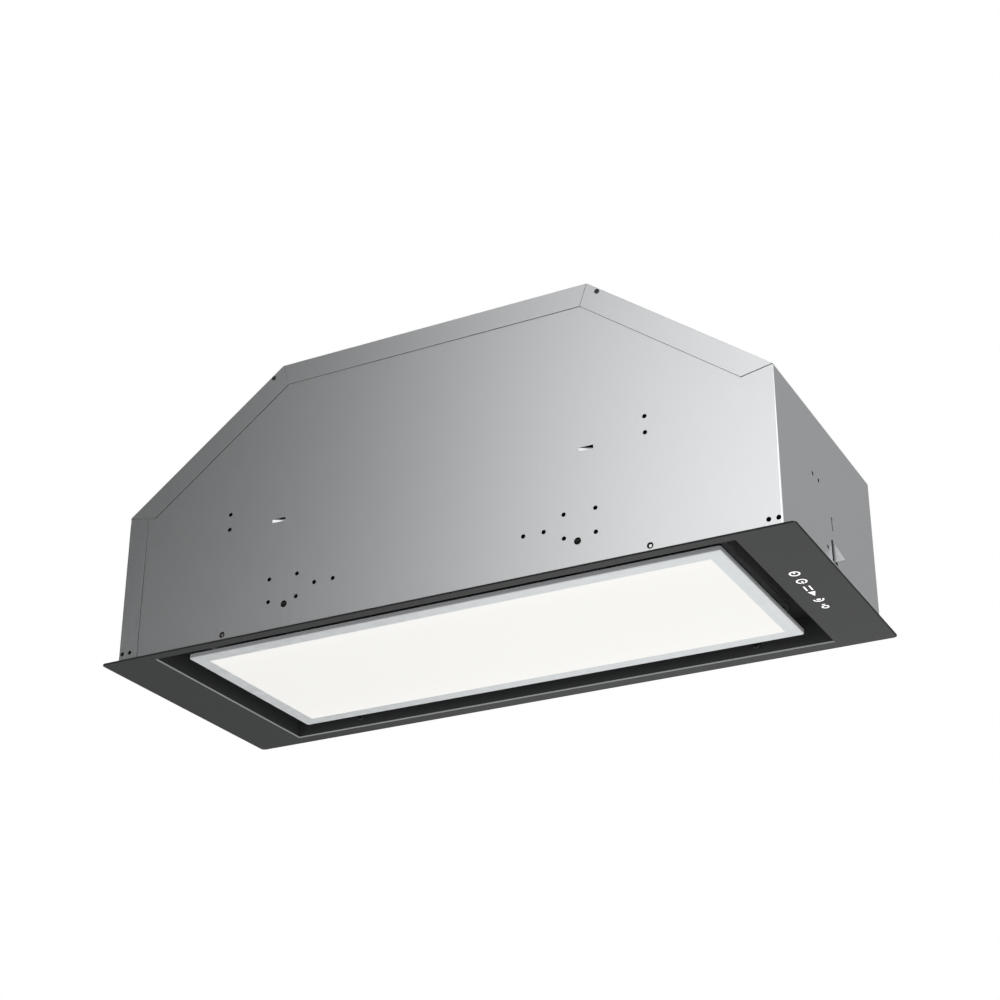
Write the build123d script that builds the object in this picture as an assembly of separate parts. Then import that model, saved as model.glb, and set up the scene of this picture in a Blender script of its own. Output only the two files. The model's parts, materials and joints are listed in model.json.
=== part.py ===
from build123d import *

import os
from math import acos, cos, degrees, hypot, radians, sin, tan

# Built-in range hood insert: a sheet-metal casing that pushes up into a cabinet's cut-out.
# Millimetres. The origin is the middle of the trim plate's underside. +X is to the right, towards
# the touch symbols, +Y goes back to the wall, and +Z goes up to the duct.

# ---- Driving dimensions ---------------------------------------------------------------------

CLEARANCE = 0.3            # between pieces that move past each other
RUNNING_FIT = 0.05         # radial play of a shaft or pin that turns
SLIDE_FIT = 0.2            # each side of a sliding piece

# Trim frame: the painted plate under the cabinet, with its lip folded up round the opening
TRIM_WIDTH = 700.0
TRIM_DEPTH = 280.0
TRIM_SHEET = 1.5
TRIM_CORNER_R = 4.5
SIDE_STRIP = 56.6          # plate's end to the opening
BACK_STRIP = 16.5          # plate's back edge to the opening
LIP_BEND_R = 1.2

# Casing: two shells and a roof, folded from thin sheet
PLATE_OVERHANG_X = 13.0    # trim plate past the casing at each end
PLATE_OVERHANG_Y = 9.5     # trim plate past the casing at front and rear
SHELL_SHEET = 0.8
WALL_TOP = 156.4           # where the walls turn in to the shoulders
CASING_TOP = 286.2
SHOULDER_RUN = 172.3       # how far each sloped shoulder goes in towards the middle
BAND_WIDTH = 22.4          # roof's lap over the front and rear walls
BAND_END_DROP = 5.9        # slope of each shoulder band's lower end
BAND_SEAM = 0.4
TAB_WIDTH = 21.5           # shell's lap over the other shell's wall
TAB_TOP_GAP = 6.9

# Holes in the front wall, as distances from the middle and heights, and their radii
PAIR_HOLE_X = 217.0
PAIR_HOLE_HEIGHTS = (119.0, 135.0)
GRID_HOLE_XS = (137.5, 168.0)
GRID_HOLE_HEIGHTS = (34.0, 57.0)
ROW_HOLE_XS = (98.0, 118.0)
ROW_HOLE_HEIGHT = 44.4
SMALL_HOLE_R = 2.1
ACCESS_HOLE = (150.5, 28.9)
ACCESS_HOLE_R = 3.4
LIP_SCREW = (218.0, 10.4)
LIP_SCREW_HOLE_R = 3.0
CORNER_HOLE_INSETS = (12.8, 4.0)
CORNER_HOLE_HEIGHT = 11.6
CORNER_HOLE_R = 2.2

# Tongue cut in the front wall and bent in, to hold a cable
TONGUE_X = 153.8
TONGUE_LENGTH = 13.3
TONGUE_HEIGHT = 3.1
TONGUE_Z = 117.1
TONGUE_ANGLE = 19.0

# Right side wall: screw holes and the snap fin that sits on the cabinet's board
SIDE_HOLE_YS = (-41.9, -26.2)
SIDE_HOLE_HEIGHT = 90.9
SIDE_HOLE_R = 2.1
SIDE_PEG_HOLE = (-13.5, 31.8)
SIDE_PEG_HOLE_R = 2.1
FIN_Y = 1.7
FIN_REACH = 9.8
FIN_BOTTOM = 22.9
FIN_TOP = 43.6
FIN_ROOT = 2.0             # height of the fin's foot in the wall
FIN_SLIT = 4.4
UPPER_SLIT_Y = 3.7
UPPER_SLIT_HEIGHTS = (54.0, 66.0)
UPPER_SLIT_WIDTH = 2.0
UPPER_SLIT_END_R = 1.8
RELIEF_R = 1.2

# Rivets in the shoulder bands, near the roof's folds
RIVET_OFFSET_X = 10.3      # outward from the roof's fold
RIVET_DROP = 3.84          # below the shoulder's edge
RIVET_R = 1.6
RIVET_HEAD_R = 2.4
RIVET_HEAD = 0.8

# Screws of the trim frame's lip, and the corner brackets
LIP_SCREW_R = 2.0
LIP_SCREW_HEAD_R = 3.8
LIP_SCREW_HEAD = 2.2
LIP_SCREW_SHY = 0.9        # how far each tip stays inside the wall's face
SPACER_R = 4.5
BRACKET_LEG = 19.0
BRACKET_HEIGHT = 20.0
BRACKET_SHEET = 1.0

# Intake gap round the light panel, and the panel itself
GAP_FRONT = 21.7
GAP_BACK = 18.4
GAP_SIDE = 21.5
PANEL_LIFT = 4.6           # panel's face above the trim plate's underside
PANEL_THICK = 5.4
PANEL_CORNER_R = 2.5
PANEL_BEVEL = 0.6
PANEL_BORDER = 14.3        # rim that shows round the diffuser
PANEL_BAR = 12.0           # rim's width above its ledge
PANEL_LEDGE = 2.0
DIFFUSER_SHY = 0.15        # diffuser's face above the rim's face
DIFFUSER_FLANGE = 1.0
DIFFUSER_PLAY = 0.2
LED_STRIP_THICK = 1.2
LED_STRIP_HEIGHT = 2.0
LED_STRIP_END_GAP = 12.0
LED_STRIP_PLAY = 0.5
REFLECTOR_THICK = 0.4
TRAY_SHEET = 0.8
TRAY_HEIGHT = 5.0
TRAY_RIM_INSET = 8.5
TRAY_WALL_INSET = 14.0
PANEL_SCREW_R = 1.25
PANEL_SCREW_HEAD_R = 2.0
PANEL_SCREW_HEAD = 0.8
PANEL_SCREW_INSET = 10.6
PANEL_SCREW_LENGTH = 3.4
PANEL_SCREW_COLUMNS = 5

# Panel hinges
HINGE_END_INSET = 56.9     # each hinge's middle in from the panel's end
HINGE_INSET = 1.1          # axis in front of the panel's rear edge
HINGE_AXIS_LIFT = 7.0      # axis above the panel's back
HINGE_PIN_R = 2.0
HINGE_PIN_HEAD_R = 3.0
HINGE_PIN_HEAD = 1.4
KNUCKLE_R = 4.0
KNUCKLE_WIDTH = 13.4
HINGE_EAR_SHEET = 2.0
HINGE_BASE_WIDTH = 24.0
HINGE_BASE_GAP = 0.5       # bracket's rear edge to the lip
HINGE_BASE_SHEET = 1.2
HINGE_FOOT_WIDTH = 32.0
HINGE_FOOT_DEPTH = 6.7
HINGE_FOOT_SHEET = 1.6
HINGE_FOOT_SCREW_X = 12.0

# Panel catches
CATCH_X = 152.75
CATCH_WIDTH = 28.0
MAGNET_DEPTH = 10.0
MAGNET_HEIGHT = 9.5
MAGNET_BOTTOM_GAP = 0.3
STRIKE_DEPTH = 7.0
STRIKE_SHEET = 1.2
CATCH_SHEET = 1.0
CATCH_LEG_DROP = 12.0      # leg's reach below the arm that carries the magnet
CATCH_LEG_RISE = 5.0       # and above the arm

# Grease filters, side by side under the shelf
FILTER_SIDE_GAP = 29.9     # lip to the filters' outer ends
FILTER_INSET = 49.0        # plate's front and rear edges to the filters
FILTER_THICK = 8.0
FILTER_SPACING = 3.0
FILTER_GRIP_GAP = 3.0      # light panel's back to the filter latches' grips
FILTER_RIM = 12.0
FILTER_WALL = 1.0
FILTER_GROOVE = 3.0        # how far the mesh reaches into the rim
SHELF_LEDGE = 10.0         # filter's overlap on the shelf round its hole
RAIL_SHEET = 0.8
RAIL_HANG = 9.6
RAIL_GAP = 0.4
RAIL_LEDGE = 7.0
RAIL_FLANGE = 8.0

# Filter latch: a sliding plate with a nose and a finger grip
LATCH_TRAVEL = 5.0
LATCH_WIDTH = 28.0
LATCH_LENGTH = 14.0
LATCH_HEIGHT = 3.6
LATCH_SETBACK = 2.2        # plate's front behind the filter's edge
LATCH_NOSE_WIDTH = 20.0
LATCH_NOSE_HEIGHT = 2.4
LATCH_NOSE_REACH = 4.5
LATCH_GRIP_WIDTH = 18.0
LATCH_GRIP_DEPTH = 6.0
LATCH_GRIP_SETBACK = 6.0
LATCH_GRIP_DROP = 4.0      # grip's reach under the filter
LATCH_FLOOR = 1.6
LATCH_LAND_WIDTH = 48.0
LATCH_SLOT_PLAY = 0.4      # rail's slot at each side of the nose
SPRING_LENGTH = 9.0
SPRING_R = 1.7
SPRING_BORE_R = 1.2

# Shelf between the intake and the fan chamber
SHELF_FLANGE_DROP = 14.0
SHELF_FLANGE_YS = (25.0, 100.0)
SHELF_NOTCH = 3.0

# Touch control
ICON_INSET = 36.3          # symbols' line in from the plate's end
ICON_YS = (-40.6, -22.6, -5.7, 7.8, 22.1, 39.1)
ICON_SIZE = 10.0
ICON_LINE = 1.5
ICON_DEPTH = 0.4
TOUCH_WIDTH = 28.0
TOUCH_LENGTH = 116.0
TOUCH_HEIGHT = 11.0
TOUCH_WALL = 1.5
BOARD_THICK = 1.6
TOUCH_BOARD_LIFT = 3.0

# Blower
IMPELLER_R = 75.0
IMPELLER_WIDTH = 100.0
IMPELLER_RING = 2.0
CUTOFF_GAP = 9.0           # wheel to the scroll where they are nearest
SCROLL_GROWTH = 34.0       # how much wider the spiral ends than it starts
SCROLL_SIDE_GAP = 8.0      # wheel's end to the scroll's outer face
SCROLL_LIFT = 6.0          # shelf to the scroll's lowest lug, room for the filters' air
SCROLL_WALL = 2.0
SCROLL_ARCS = 4
INLET_EDGE = 3.0           # inlet's edge inside the blades
OUTLET_WIDTH = 124.0
LUG_R = 5.0
LUG_LENGTH = 8.0
LUG_OFFSET = 3.5
LOW_LUG_ANGLE = 265.0
LUG_ANGLES = (140.0, 205.0, LOW_LUG_ANGLE, 330.0)
SCROLL_SCREW_R = 1.6
SCROLL_SCREW_HEAD_R = 3.0
SCROLL_SCREW_HEAD = 1.8
BLADE_DEPTH = 12.0
BLADE_SHEET = 1.4
BLADE_COUNT = 36
BLADE_LEAN = 30.0
HUB_R = 14.0
HUB_FRONT = 12.0
HUB_BACK = 6.0
SHAFT_R = 4.0
SHAFT_NOSE = 14.0
SHAFT_TAIL = 1.0
SHAFT_ROOM = 0.5           # between the shaft and the motor's core
MOTOR_INLET_GAP = 14.0     # air's way past the motor
MOTOR_FRONT = 8.0
BEARING_R = 9.0
BEARING_LENGTH = 7.0
ARM_END = 4.0              # arm's reach past its screw
ARM_WIDTH = 14.0
ARM_SHEET = 2.5
ARM_HUB_R = 32.0
ARM_COUNT = 3
GROMMET_R = 7.0
GROMMET_LENGTH = 8.0
GROMMET_OFFSET = 8.0       # grommets' circle outside the inlet's edge
BRACKET_SCREW_R = 1.5
BRACKET_SCREW_HEAD_R = 3.2
BRACKET_SCREW_HEAD = 2.4

# Duct collar and its backdraft flaps
COLLAR_R = 74.5
COLLAR_WALL = 1.5
COLLAR_HEIGHT = 35.0
COLLAR_BASE_MARGIN = 5.5   # base past the collar at each side
COLLAR_BASE_SHEET = 2.0
COLLAR_SCREW_INSET = 8.0   # screws in from the base's edges
COLLAR_SCREW_R = 1.75
COLLAR_SCREW_HEAD_R = 3.4
COLLAR_SCREW_HEAD = 2.2
COLLAR_SCREW_TIP = 3.0
FLAP_GAP = 1.4             # flap's edge to the collar's bore
FLAP_SHEET = 1.4
FLAP_AXIS_X = 4.0
FLAP_AXIS_LIFT = 12.0      # flaps' axis above the roof
FLAP_PIN_R = 1.5
FLAP_KNUCKLE_R = 2.4
FLAP_KNUCKLE_END = 11.0    # knuckle's end in from the collar's bore
FLAP_SETBACK = 3.0         # flap's straight edge from its axis
FLAP_DROP = 1.8            # flap's underside below its axis
LEDGE_WIDTH = 3.0
LEDGE_HEIGHT = 1.8
BAR_HALF_WIDTH = 1.2
BAR_HEIGHT = 5.0

# Electrical pieces in the fan chamber
CONTROL_BOX_SIDE_GAP = 6.0
CONTROL_BOX_FRONT_GAP = 18.5
CONTROL_BOX_WIDTH = 56.0
CONTROL_BOX_DEPTH = 92.0
CONTROL_BOX_HEIGHT = 46.0
BOX_WALL = 1.6
LID_THICK = 2.0
BOX_BOARD_LIFT = 6.0
CAPACITOR_SIDE_GAP = 32.0  # middle in from the casing's end
CAPACITOR_REAR_GAP = 30.5  # middle in from the casing's rear
CAPACITOR_R = 18.0
CAPACITOR_HEIGHT = 62.0
DRIVER_SIDE_GAP = 7.0
DRIVER_WIDTH = 50.0
DRIVER_LENGTH = 140.0
DRIVER_HEIGHT = 26.0

# Mains gland in the roof, and the leads inside
GLAND_SIDE_GAP = 24.7      # middle in from the roof's fold
GLAND_REAR_GAP = 30.5      # middle in from the casing's rear
GLAND_BORE_R = 4.2
GLAND_THREAD_R = 8.0
GLAND_FLANGE_R = 12.0
GLAND_FLANGE = 4.0
GLAND_CAP_R = 10.0
GLAND_HEIGHT = 15.0
GLAND_NUT_R = 12.0
GLAND_NUT = 5.0
SUPPLY_LEAD_R = 3.5
MOTOR_LEAD_R = 3.0
LEAD_ARC_SHARE = 0.45      # share of the shorter run that an arc may take
LEAD_ENTRY_RUN = 42.0      # straight run of a lead before the control box
SUPPLY_ENTRY_LIFT = 35.0
MOTOR_ENTRY_LIFT = 21.0
MOTOR_ENTRY_INSET = 9.0
# Bends of each lead: share of the way to the box in x, mm back from the start in y, share down
SUPPLY_BENDS = ((0, 0, 0.26), (0.2, -6, 0.5), (0.49, -22, 0.71), (0.79, -48, 0.86))
MOTOR_BENDS = ((0, 31, 0), (0.16, 45, 0.17), (0.34, 38, 0.38), (0.54, 20, 0.61), (0.73, -6, 0.83))

# ---- Places worked out from them ------------------------------------------------------------

X_WALL = TRIM_WIDTH / 2 - PLATE_OVERHANG_X
X_WALL_IN = X_WALL - SHELL_SHEET
Y_WALL = TRIM_DEPTH / 2 - PLATE_OVERHANG_Y
Y_WALL_IN = Y_WALL - SHELL_SHEET
X_ROOF = X_WALL - SHOULDER_RUN
CORNER_HOLE_XS = [X_WALL - inset for inset in CORNER_HOLE_INSETS]
RIVET_X = X_ROOF + RIVET_OFFSET_X
SHOULDER_SLOPE = (CASING_TOP - WALL_TOP) / SHOULDER_RUN
RIVET_HEIGHT = CASING_TOP - RIVET_OFFSET_X * SHOULDER_SLOPE - RIVET_DROP

X_OPEN = TRIM_WIDTH / 2 - SIDE_STRIP
Y_OPEN_FRONT = TRIM_SHEET - Y_WALL_IN
Y_OPEN_BACK = TRIM_DEPTH / 2 - BACK_STRIP

X_PANEL = X_OPEN - GAP_SIDE
Y_PANEL_FRONT = Y_OPEN_FRONT + GAP_FRONT
Y_PANEL_BACK = Y_OPEN_BACK - GAP_BACK
PANEL_BACK_Z = PANEL_LIFT + PANEL_THICK
LEDGE_Z = PANEL_LIFT + PANEL_LEDGE
TRAY_TOP = PANEL_BACK_Z + TRAY_HEIGHT
HINGE_X = X_PANEL - HINGE_END_INSET
HINGE_Y = Y_PANEL_BACK - HINGE_INSET
HINGE_AXIS_Z = PANEL_BACK_Z + HINGE_AXIS_LIFT
MAGNET_BOTTOM = PANEL_BACK_Z + STRIKE_SHEET + MAGNET_BOTTOM_GAP
CATCH_ARM_Z = MAGNET_BOTTOM + MAGNET_HEIGHT

FILTER_BOTTOM = TRAY_TOP + FILTER_GRIP_GAP + LATCH_GRIP_DROP
LIP_HEIGHT = FILTER_BOTTOM + FILTER_THICK
SHELF_TOP = LIP_HEIGHT + SHELL_SHEET
FILTER_WIDTH = X_OPEN - FILTER_SIDE_GAP - FILTER_SPACING / 2
FILTER_X = (FILTER_WIDTH + FILTER_SPACING) / 2
Y_FILTER = TRIM_DEPTH / 2 - FILTER_INSET
LATCH_Z = FILTER_BOTTOM + LATCH_FLOOR + SLIDE_FIT
LATCH_FRONT = LATCH_SETBACK - Y_FILTER

SCROLL_TOP = CASING_TOP - SHELL_SHEET
SCROLL_WIDTH = IMPELLER_WIDTH + 2 * SCROLL_SIDE_GAP
SCROLL_MIN_R = IMPELLER_R + CUTOFF_GAP
FAN_X = OUTLET_WIDTH / 2 - SCROLL_MIN_R - SCROLL_GROWTH
CUTOFF_ANGLE = degrees(acos((-OUTLET_WIDTH / 2 - FAN_X) / SCROLL_MIN_R))
INLET_R = IMPELLER_R - BLADE_DEPTH - INLET_EDGE
MOTOR_R = INLET_R - MOTOR_INLET_GAP
MOTOR_BACK = SCROLL_WIDTH / 2 + GROMMET_LENGTH
GROMMET_CIRCLE_R = INLET_R + GROMMET_OFFSET

DUCT_R = COLLAR_R - COLLAR_WALL
COLLAR_BASE = 2 * (COLLAR_R + COLLAR_BASE_MARGIN)
COLLAR_SCREW_XY = COLLAR_BASE / 2 - COLLAR_SCREW_INSET
GLAND_PLACE = (X_ROOF - GLAND_SIDE_GAP, Y_WALL - GLAND_REAR_GAP)
FLAP_AXIS_Z = CASING_TOP + FLAP_AXIS_LIFT
FLAP_BOTTOM = FLAP_AXIS_Z - FLAP_DROP
ICON_X = TRIM_WIDTH / 2 - ICON_INSET

BOX_RIGHT = X_WALL - CONTROL_BOX_SIDE_GAP
BOX_FRONT = CONTROL_BOX_FRONT_GAP - Y_WALL
CONTROL_BOX_X = (BOX_RIGHT - CONTROL_BOX_WIDTH, BOX_RIGHT)
CONTROL_BOX_Y = (BOX_FRONT, BOX_FRONT + CONTROL_BOX_DEPTH)
CAPACITOR_PLACE = (X_WALL - CAPACITOR_SIDE_GAP, Y_WALL - CAPACITOR_REAR_GAP)

# ---- Simple shapes --------------------------------------------------------------------------


def block(x_range, y_range, z_range):
    """A rectangular solid between two x, two y and two z values."""
    ranges = (x_range, y_range, z_range)
    size = [abs(high - low) for low, high in ranges]
    centre = [(low + high) / 2 for low, high in ranges]
    return Pos(*centre) * Box(*size)


def rod(start, end, radius):
    """A round bar from one point to another."""
    run = Vector(end) - Vector(start)
    bar = Cylinder(radius, run.length, align=(Align.CENTER, Align.CENTER, Align.MIN))
    return Plane(origin=start, z_dir=run) * bar


def pipe(start, end, radius, bore):
    """A round bar with a hole along it."""
    return rod(start, end, radius) - rod(start, end, bore)


def mirrored_x(shape):
    """The same shape on the other side of the middle."""
    return mirror(shape, Plane.YZ)


def half_turn(shape):
    """The same shape turned half way round the vertical."""
    return Rot(0, 0, 180) * shape


def group(shapes):
    """Separate solids that share one node."""
    return Compound(children=list(shapes))


def panel_slab(inset, z_range, end_gap=0.0):
    """A slab in the light panel, so far in from its sides, and further in at front and rear."""
    return block(
        (inset - X_PANEL, X_PANEL - inset),
        (Y_PANEL_FRONT + inset + end_gap, Y_PANEL_BACK - inset - end_gap),
        z_range,
    )


# ---- Casing ---------------------------------------------------------------------------------


def roof_line(inset):
    """The roof's outline from left to right, moved inward, down to the walls' top."""
    run = X_WALL - X_ROOF
    rise = CASING_TOP - WALL_TOP
    slope_shift = inset * hypot(run, rise) / rise
    knee_x = X_ROOF - (slope_shift - inset * run / rise)
    top = CASING_TOP - inset
    foot_x = X_WALL - slope_shift
    return [(-foot_x, WALL_TOP), (-knee_x, top), (knee_x, top), (foot_x, WALL_TOP)]


def front_outline(points):
    """A face in the front wall's plane from points given as x and height."""
    return Plane.XZ * make_face(Polyline(*points, close=True))


def wall_band(points, y_near, sheet=SHELL_SHEET):
    """A flat piece of sheet standing on the XZ plane, from y_near back by its thickness."""
    plate = extrude(front_outline(points), sheet, dir=(0, 1, 0))
    return Pos(0, y_near, 0) * plate


def front_hole(place, radius, y_range):
    """A drill through the front wall."""
    x, z = place
    return rod((x, y_range[0], z), (x, y_range[1], z), radius)


def front_hole_places():
    """Every round hole in the front wall, with its radius."""
    holes = []
    for side in (-1, 1):
        holes += [((side * PAIR_HOLE_X, z), SMALL_HOLE_R) for z in PAIR_HOLE_HEIGHTS]
        holes += [((side * x, z), SMALL_HOLE_R) for x in GRID_HOLE_XS for z in GRID_HOLE_HEIGHTS]
        holes += [((side * x, ROW_HOLE_HEIGHT), SMALL_HOLE_R) for x in ROW_HOLE_XS]
        holes += [((side * x, CORNER_HOLE_HEIGHT), CORNER_HOLE_R) for x in CORNER_HOLE_XS]
        holes += [((side * ACCESS_HOLE[0], ACCESS_HOLE[1]), ACCESS_HOLE_R)]
        holes += [((side * LIP_SCREW[0], LIP_SCREW[1]), LIP_SCREW_HOLE_R)]
        holes += [((side * RIVET_X, RIVET_HEIGHT), RIVET_R)]
    return holes


def tongue_slot(x_start):
    """The hole that a cable tongue is cut from."""
    return block(
        (x_start, x_start + TONGUE_LENGTH + CLEARANCE),
        (-Y_WALL, -Y_WALL_IN),
        (TONGUE_Z - TONGUE_HEIGHT / 2 - CLEARANCE, TONGUE_Z + TONGUE_HEIGHT / 2 + CLEARANCE),
    )


def tongue(x_start):
    """A cable tongue, held at its left end and bent into the casing."""
    strip = block(
        (-SHELL_SHEET, TONGUE_LENGTH),
        (0, SHELL_SHEET),
        (TONGUE_Z - TONGUE_HEIGHT / 2, TONGUE_Z + TONGUE_HEIGHT / 2),
    )
    return Pos(x_start, -Y_WALL, 0) * Rot(0, 0, TONGUE_ANGLE) * strip


def side_fin():
    """The triangle bent out of the side wall, which sits on the cabinet's board."""
    points = [(X_WALL_IN, FIN_BOTTOM), (X_WALL + FIN_REACH, FIN_BOTTOM), (X_WALL, FIN_TOP)]
    points += [(X_WALL, FIN_BOTTOM + FIN_ROOT), (X_WALL_IN, FIN_BOTTOM + FIN_ROOT)]
    return wall_band(points, FIN_Y)


def side_cuts():
    """All that is cut from the right side wall."""
    through = (X_WALL_IN, X_WALL)
    cuts = []
    for y in SIDE_HOLE_YS:
        cuts.append(rod((X_WALL_IN, y, SIDE_HOLE_HEIGHT), (X_WALL, y, SIDE_HOLE_HEIGHT), SIDE_HOLE_R))
    peg_y, peg_z = SIDE_PEG_HOLE
    cuts.append(rod((X_WALL_IN, peg_y, peg_z), (X_WALL, peg_y, peg_z), SIDE_PEG_HOLE_R))
    cuts.append(block(through, (FIN_Y - FIN_SLIT, FIN_Y), (FIN_BOTTOM, FIN_TOP)))
    cuts.append(rod((X_WALL_IN, FIN_Y, FIN_TOP), (X_WALL, FIN_Y, FIN_TOP), RELIEF_R))
    back = FIN_Y + SHELL_SHEET
    window = make_face(
        Polyline((back, FIN_BOTTOM), (back + FIN_REACH, FIN_BOTTOM), (back, FIN_TOP), close=True)
    )
    cuts.append(Pos(X_WALL_IN, 0, 0) * extrude(Plane.YZ * window, SHELL_SHEET))
    low, high = UPPER_SLIT_HEIGHTS
    slit_y = (UPPER_SLIT_Y - UPPER_SLIT_WIDTH / 2, UPPER_SLIT_Y + UPPER_SLIT_WIDTH / 2)
    cuts.append(block(through, slit_y, (low, high)))
    slit_end = (X_WALL_IN, UPPER_SLIT_Y, high)
    cuts.append(rod(slit_end, (X_WALL, UPPER_SLIT_Y, high), UPPER_SLIT_END_R))
    return cuts


def front_shell():
    """Front wall and right side wall in one folded sheet, lapped round the rear right corner."""
    line = roof_line(SHELL_SHEET)
    left_foot = (-X_WALL_IN, WALL_TOP - SHELL_SHEET)
    points = [(-X_WALL_IN, TRIM_SHEET), (X_WALL, TRIM_SHEET), (X_WALL, WALL_TOP)]
    points += [line[3], line[2], line[1], line[0], left_foot]
    wall = wall_band(points, -Y_WALL)
    for place, radius in front_hole_places():
        wall -= front_hole(place, radius, (-Y_WALL, -Y_WALL_IN))
    for x_start in (TONGUE_X, -TONGUE_X - TONGUE_LENGTH):
        wall -= tongue_slot(x_start)
        wall += tongue(x_start)
    side = block((X_WALL_IN, X_WALL), (-Y_WALL_IN, Y_WALL), (TRIM_SHEET, WALL_TOP))
    for cut in side_cuts():
        side -= cut
    side += side_fin()
    tab_z = (TRIM_SHEET, WALL_TOP - TAB_TOP_GAP)
    tab = block((X_WALL - TAB_WIDTH, X_WALL), (Y_WALL, Y_WALL + SHELL_SHEET), tab_z)
    for x in CORNER_HOLE_XS:
        tab -= front_hole((x, CORNER_HOLE_HEIGHT), CORNER_HOLE_R, (Y_WALL, Y_WALL + SHELL_SHEET))
    return wall + side + tab


def rear_shell():
    """Rear wall and left side wall: the same sheet turned half way round."""
    return half_turn(front_shell())


def roof_bands():
    """The roof's laps over the front wall: one along the top and one down each shoulder."""
    outer = roof_line(0)
    inner = roof_line(BAND_WIDTH)
    seam = BAND_SEAM / 2
    top = [(outer[1][0] + seam, outer[1][1]), (outer[2][0] - seam, outer[2][1])]
    top += [(inner[2][0] - seam, inner[2][1]), (inner[1][0] + seam, inner[1][1])]
    end_x = inner[3][0] + BAND_END_DROP / SHOULDER_SLOPE
    shoulder = [(outer[2][0] + seam, outer[2][1]), outer[3]]
    shoulder += [(end_x, WALL_TOP - BAND_END_DROP), (inner[2][0] + seam, inner[2][1])]
    bands = wall_band(top, -Y_WALL - SHELL_SHEET)
    right = wall_band(shoulder, -Y_WALL - SHELL_SHEET)
    right -= front_hole((RIVET_X, RIVET_HEIGHT), RIVET_R, (-Y_WALL - SHELL_SHEET, -Y_WALL))
    return [bands, right, mirrored_x(right)]


def roof_sheet():
    """Top and both shoulders in one folded sheet, with its laps at front and rear."""
    points = roof_line(0) + list(reversed(roof_line(SHELL_SHEET)))
    roof = wall_band(points, -Y_WALL, 2 * Y_WALL)
    for band in roof_bands():
        roof += band
        roof += half_turn(band)
    for place in collar_screw_places():
        roof -= rod((*place, SCROLL_TOP), (*place, CASING_TOP), COLLAR_SCREW_R)
    roof -= rod((0, 0, SCROLL_TOP), (0, 0, CASING_TOP), DUCT_R)
    roof -= rod((*GLAND_PLACE, SCROLL_TOP), (*GLAND_PLACE, CASING_TOP), GLAND_THREAD_R)
    return roof


def roof_rivets():
    """The rivets through the shoulder bands, two at the front and two at the rear."""
    rivets = []
    for side in (-1, 1):
        x = side * RIVET_X
        face = -Y_WALL - SHELL_SHEET
        head = rod((x, face - RIVET_HEAD, RIVET_HEIGHT), (x, face, RIVET_HEIGHT), RIVET_HEAD_R)
        shank = rod((x, face, RIVET_HEIGHT), (x, -Y_WALL_IN + RIVET_HEAD, RIVET_HEIGHT), RIVET_R)
        rivets.append(head + shank)
    return group(rivets + [half_turn(rivet) for rivet in rivets])


# ---- Trim frame and what sits on it ---------------------------------------------------------


def ring_piece(outer, inner, span):
    """A pipe lying flat for a symbol."""
    return rod((0, 0, 0), (0, 0, span), outer) - rod((0, 0, 0), (0, 0, span), inner)


def icon_shapes():
    """Six plain generic symbols, each about its own middle, in the order of the row."""
    half = ICON_SIZE / 2
    line = ICON_LINE
    flat = (0, ICON_DEPTH)
    ring = ring_piece(half, half - line, ICON_DEPTH)
    small_ring = ring_piece(half - 2 * line, half - 3 * line, ICON_DEPTH)
    clock = ring + block((-line / 2, line / 2), (-half + line, 0), flat)
    power = ring - block((-line, line), (0, half), flat) + block((-line / 2, line / 2), (0, half), flat)
    bar = block((-line / 2, line / 2), (-half, half), flat)
    bars = Pos(-half / 2, 0, 0) * bar + Pos(half / 2, 0, 0) * bar
    peak = Polyline((line - half, -half), (half - line, -half), (0, half), close=True)
    triangle = extrude(make_face(peak), ICON_DEPTH)
    arcs = (ring - block((-half, half), (-half, -line / 2), flat)) + small_ring
    lamp = Pos(0, line, 0) * ring_piece(half - line, half - 2 * line, ICON_DEPTH)
    lamp += block((-line, line), (-half, -half + line), flat)
    return [clock, power, bars, triangle, arcs, lamp]


def touch_symbols():
    """The symbols let into the trim plate's underside."""
    return [Pos(ICON_X, y, 0) * shape for shape, y in zip(icon_shapes(), ICON_YS)]


def trim_frame():
    """The painted plate, its opening, and the lip folded up round it."""
    outline = RectangleRounded(TRIM_WIDTH, TRIM_DEPTH, TRIM_CORNER_R)
    frame = extrude(outline, TRIM_SHEET)
    frame += block(
        (-X_OPEN - TRIM_SHEET, X_OPEN + TRIM_SHEET),
        (Y_OPEN_FRONT - TRIM_SHEET, Y_OPEN_BACK + TRIM_SHEET),
        (0, LIP_HEIGHT),
    )
    frame -= block((-X_OPEN, X_OPEN), (Y_OPEN_FRONT, Y_OPEN_BACK), (0, LIP_HEIGHT))
    underside = frame.faces().sort_by(Axis.Z)[0]
    frame = fillet(underside.inner_wires()[0].edges(), LIP_BEND_R)
    for symbol in touch_symbols():
        frame -= symbol
    for x in (-LIP_SCREW[0], LIP_SCREW[0]):
        frame -= front_hole((x, LIP_SCREW[1]), LIP_SCREW_R, (-Y_WALL_IN, Y_OPEN_FRONT))
        frame -= front_hole((x, LIP_SCREW[1]), LIP_SCREW_R, (Y_OPEN_BACK, Y_OPEN_BACK + TRIM_SHEET))
    return frame


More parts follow.
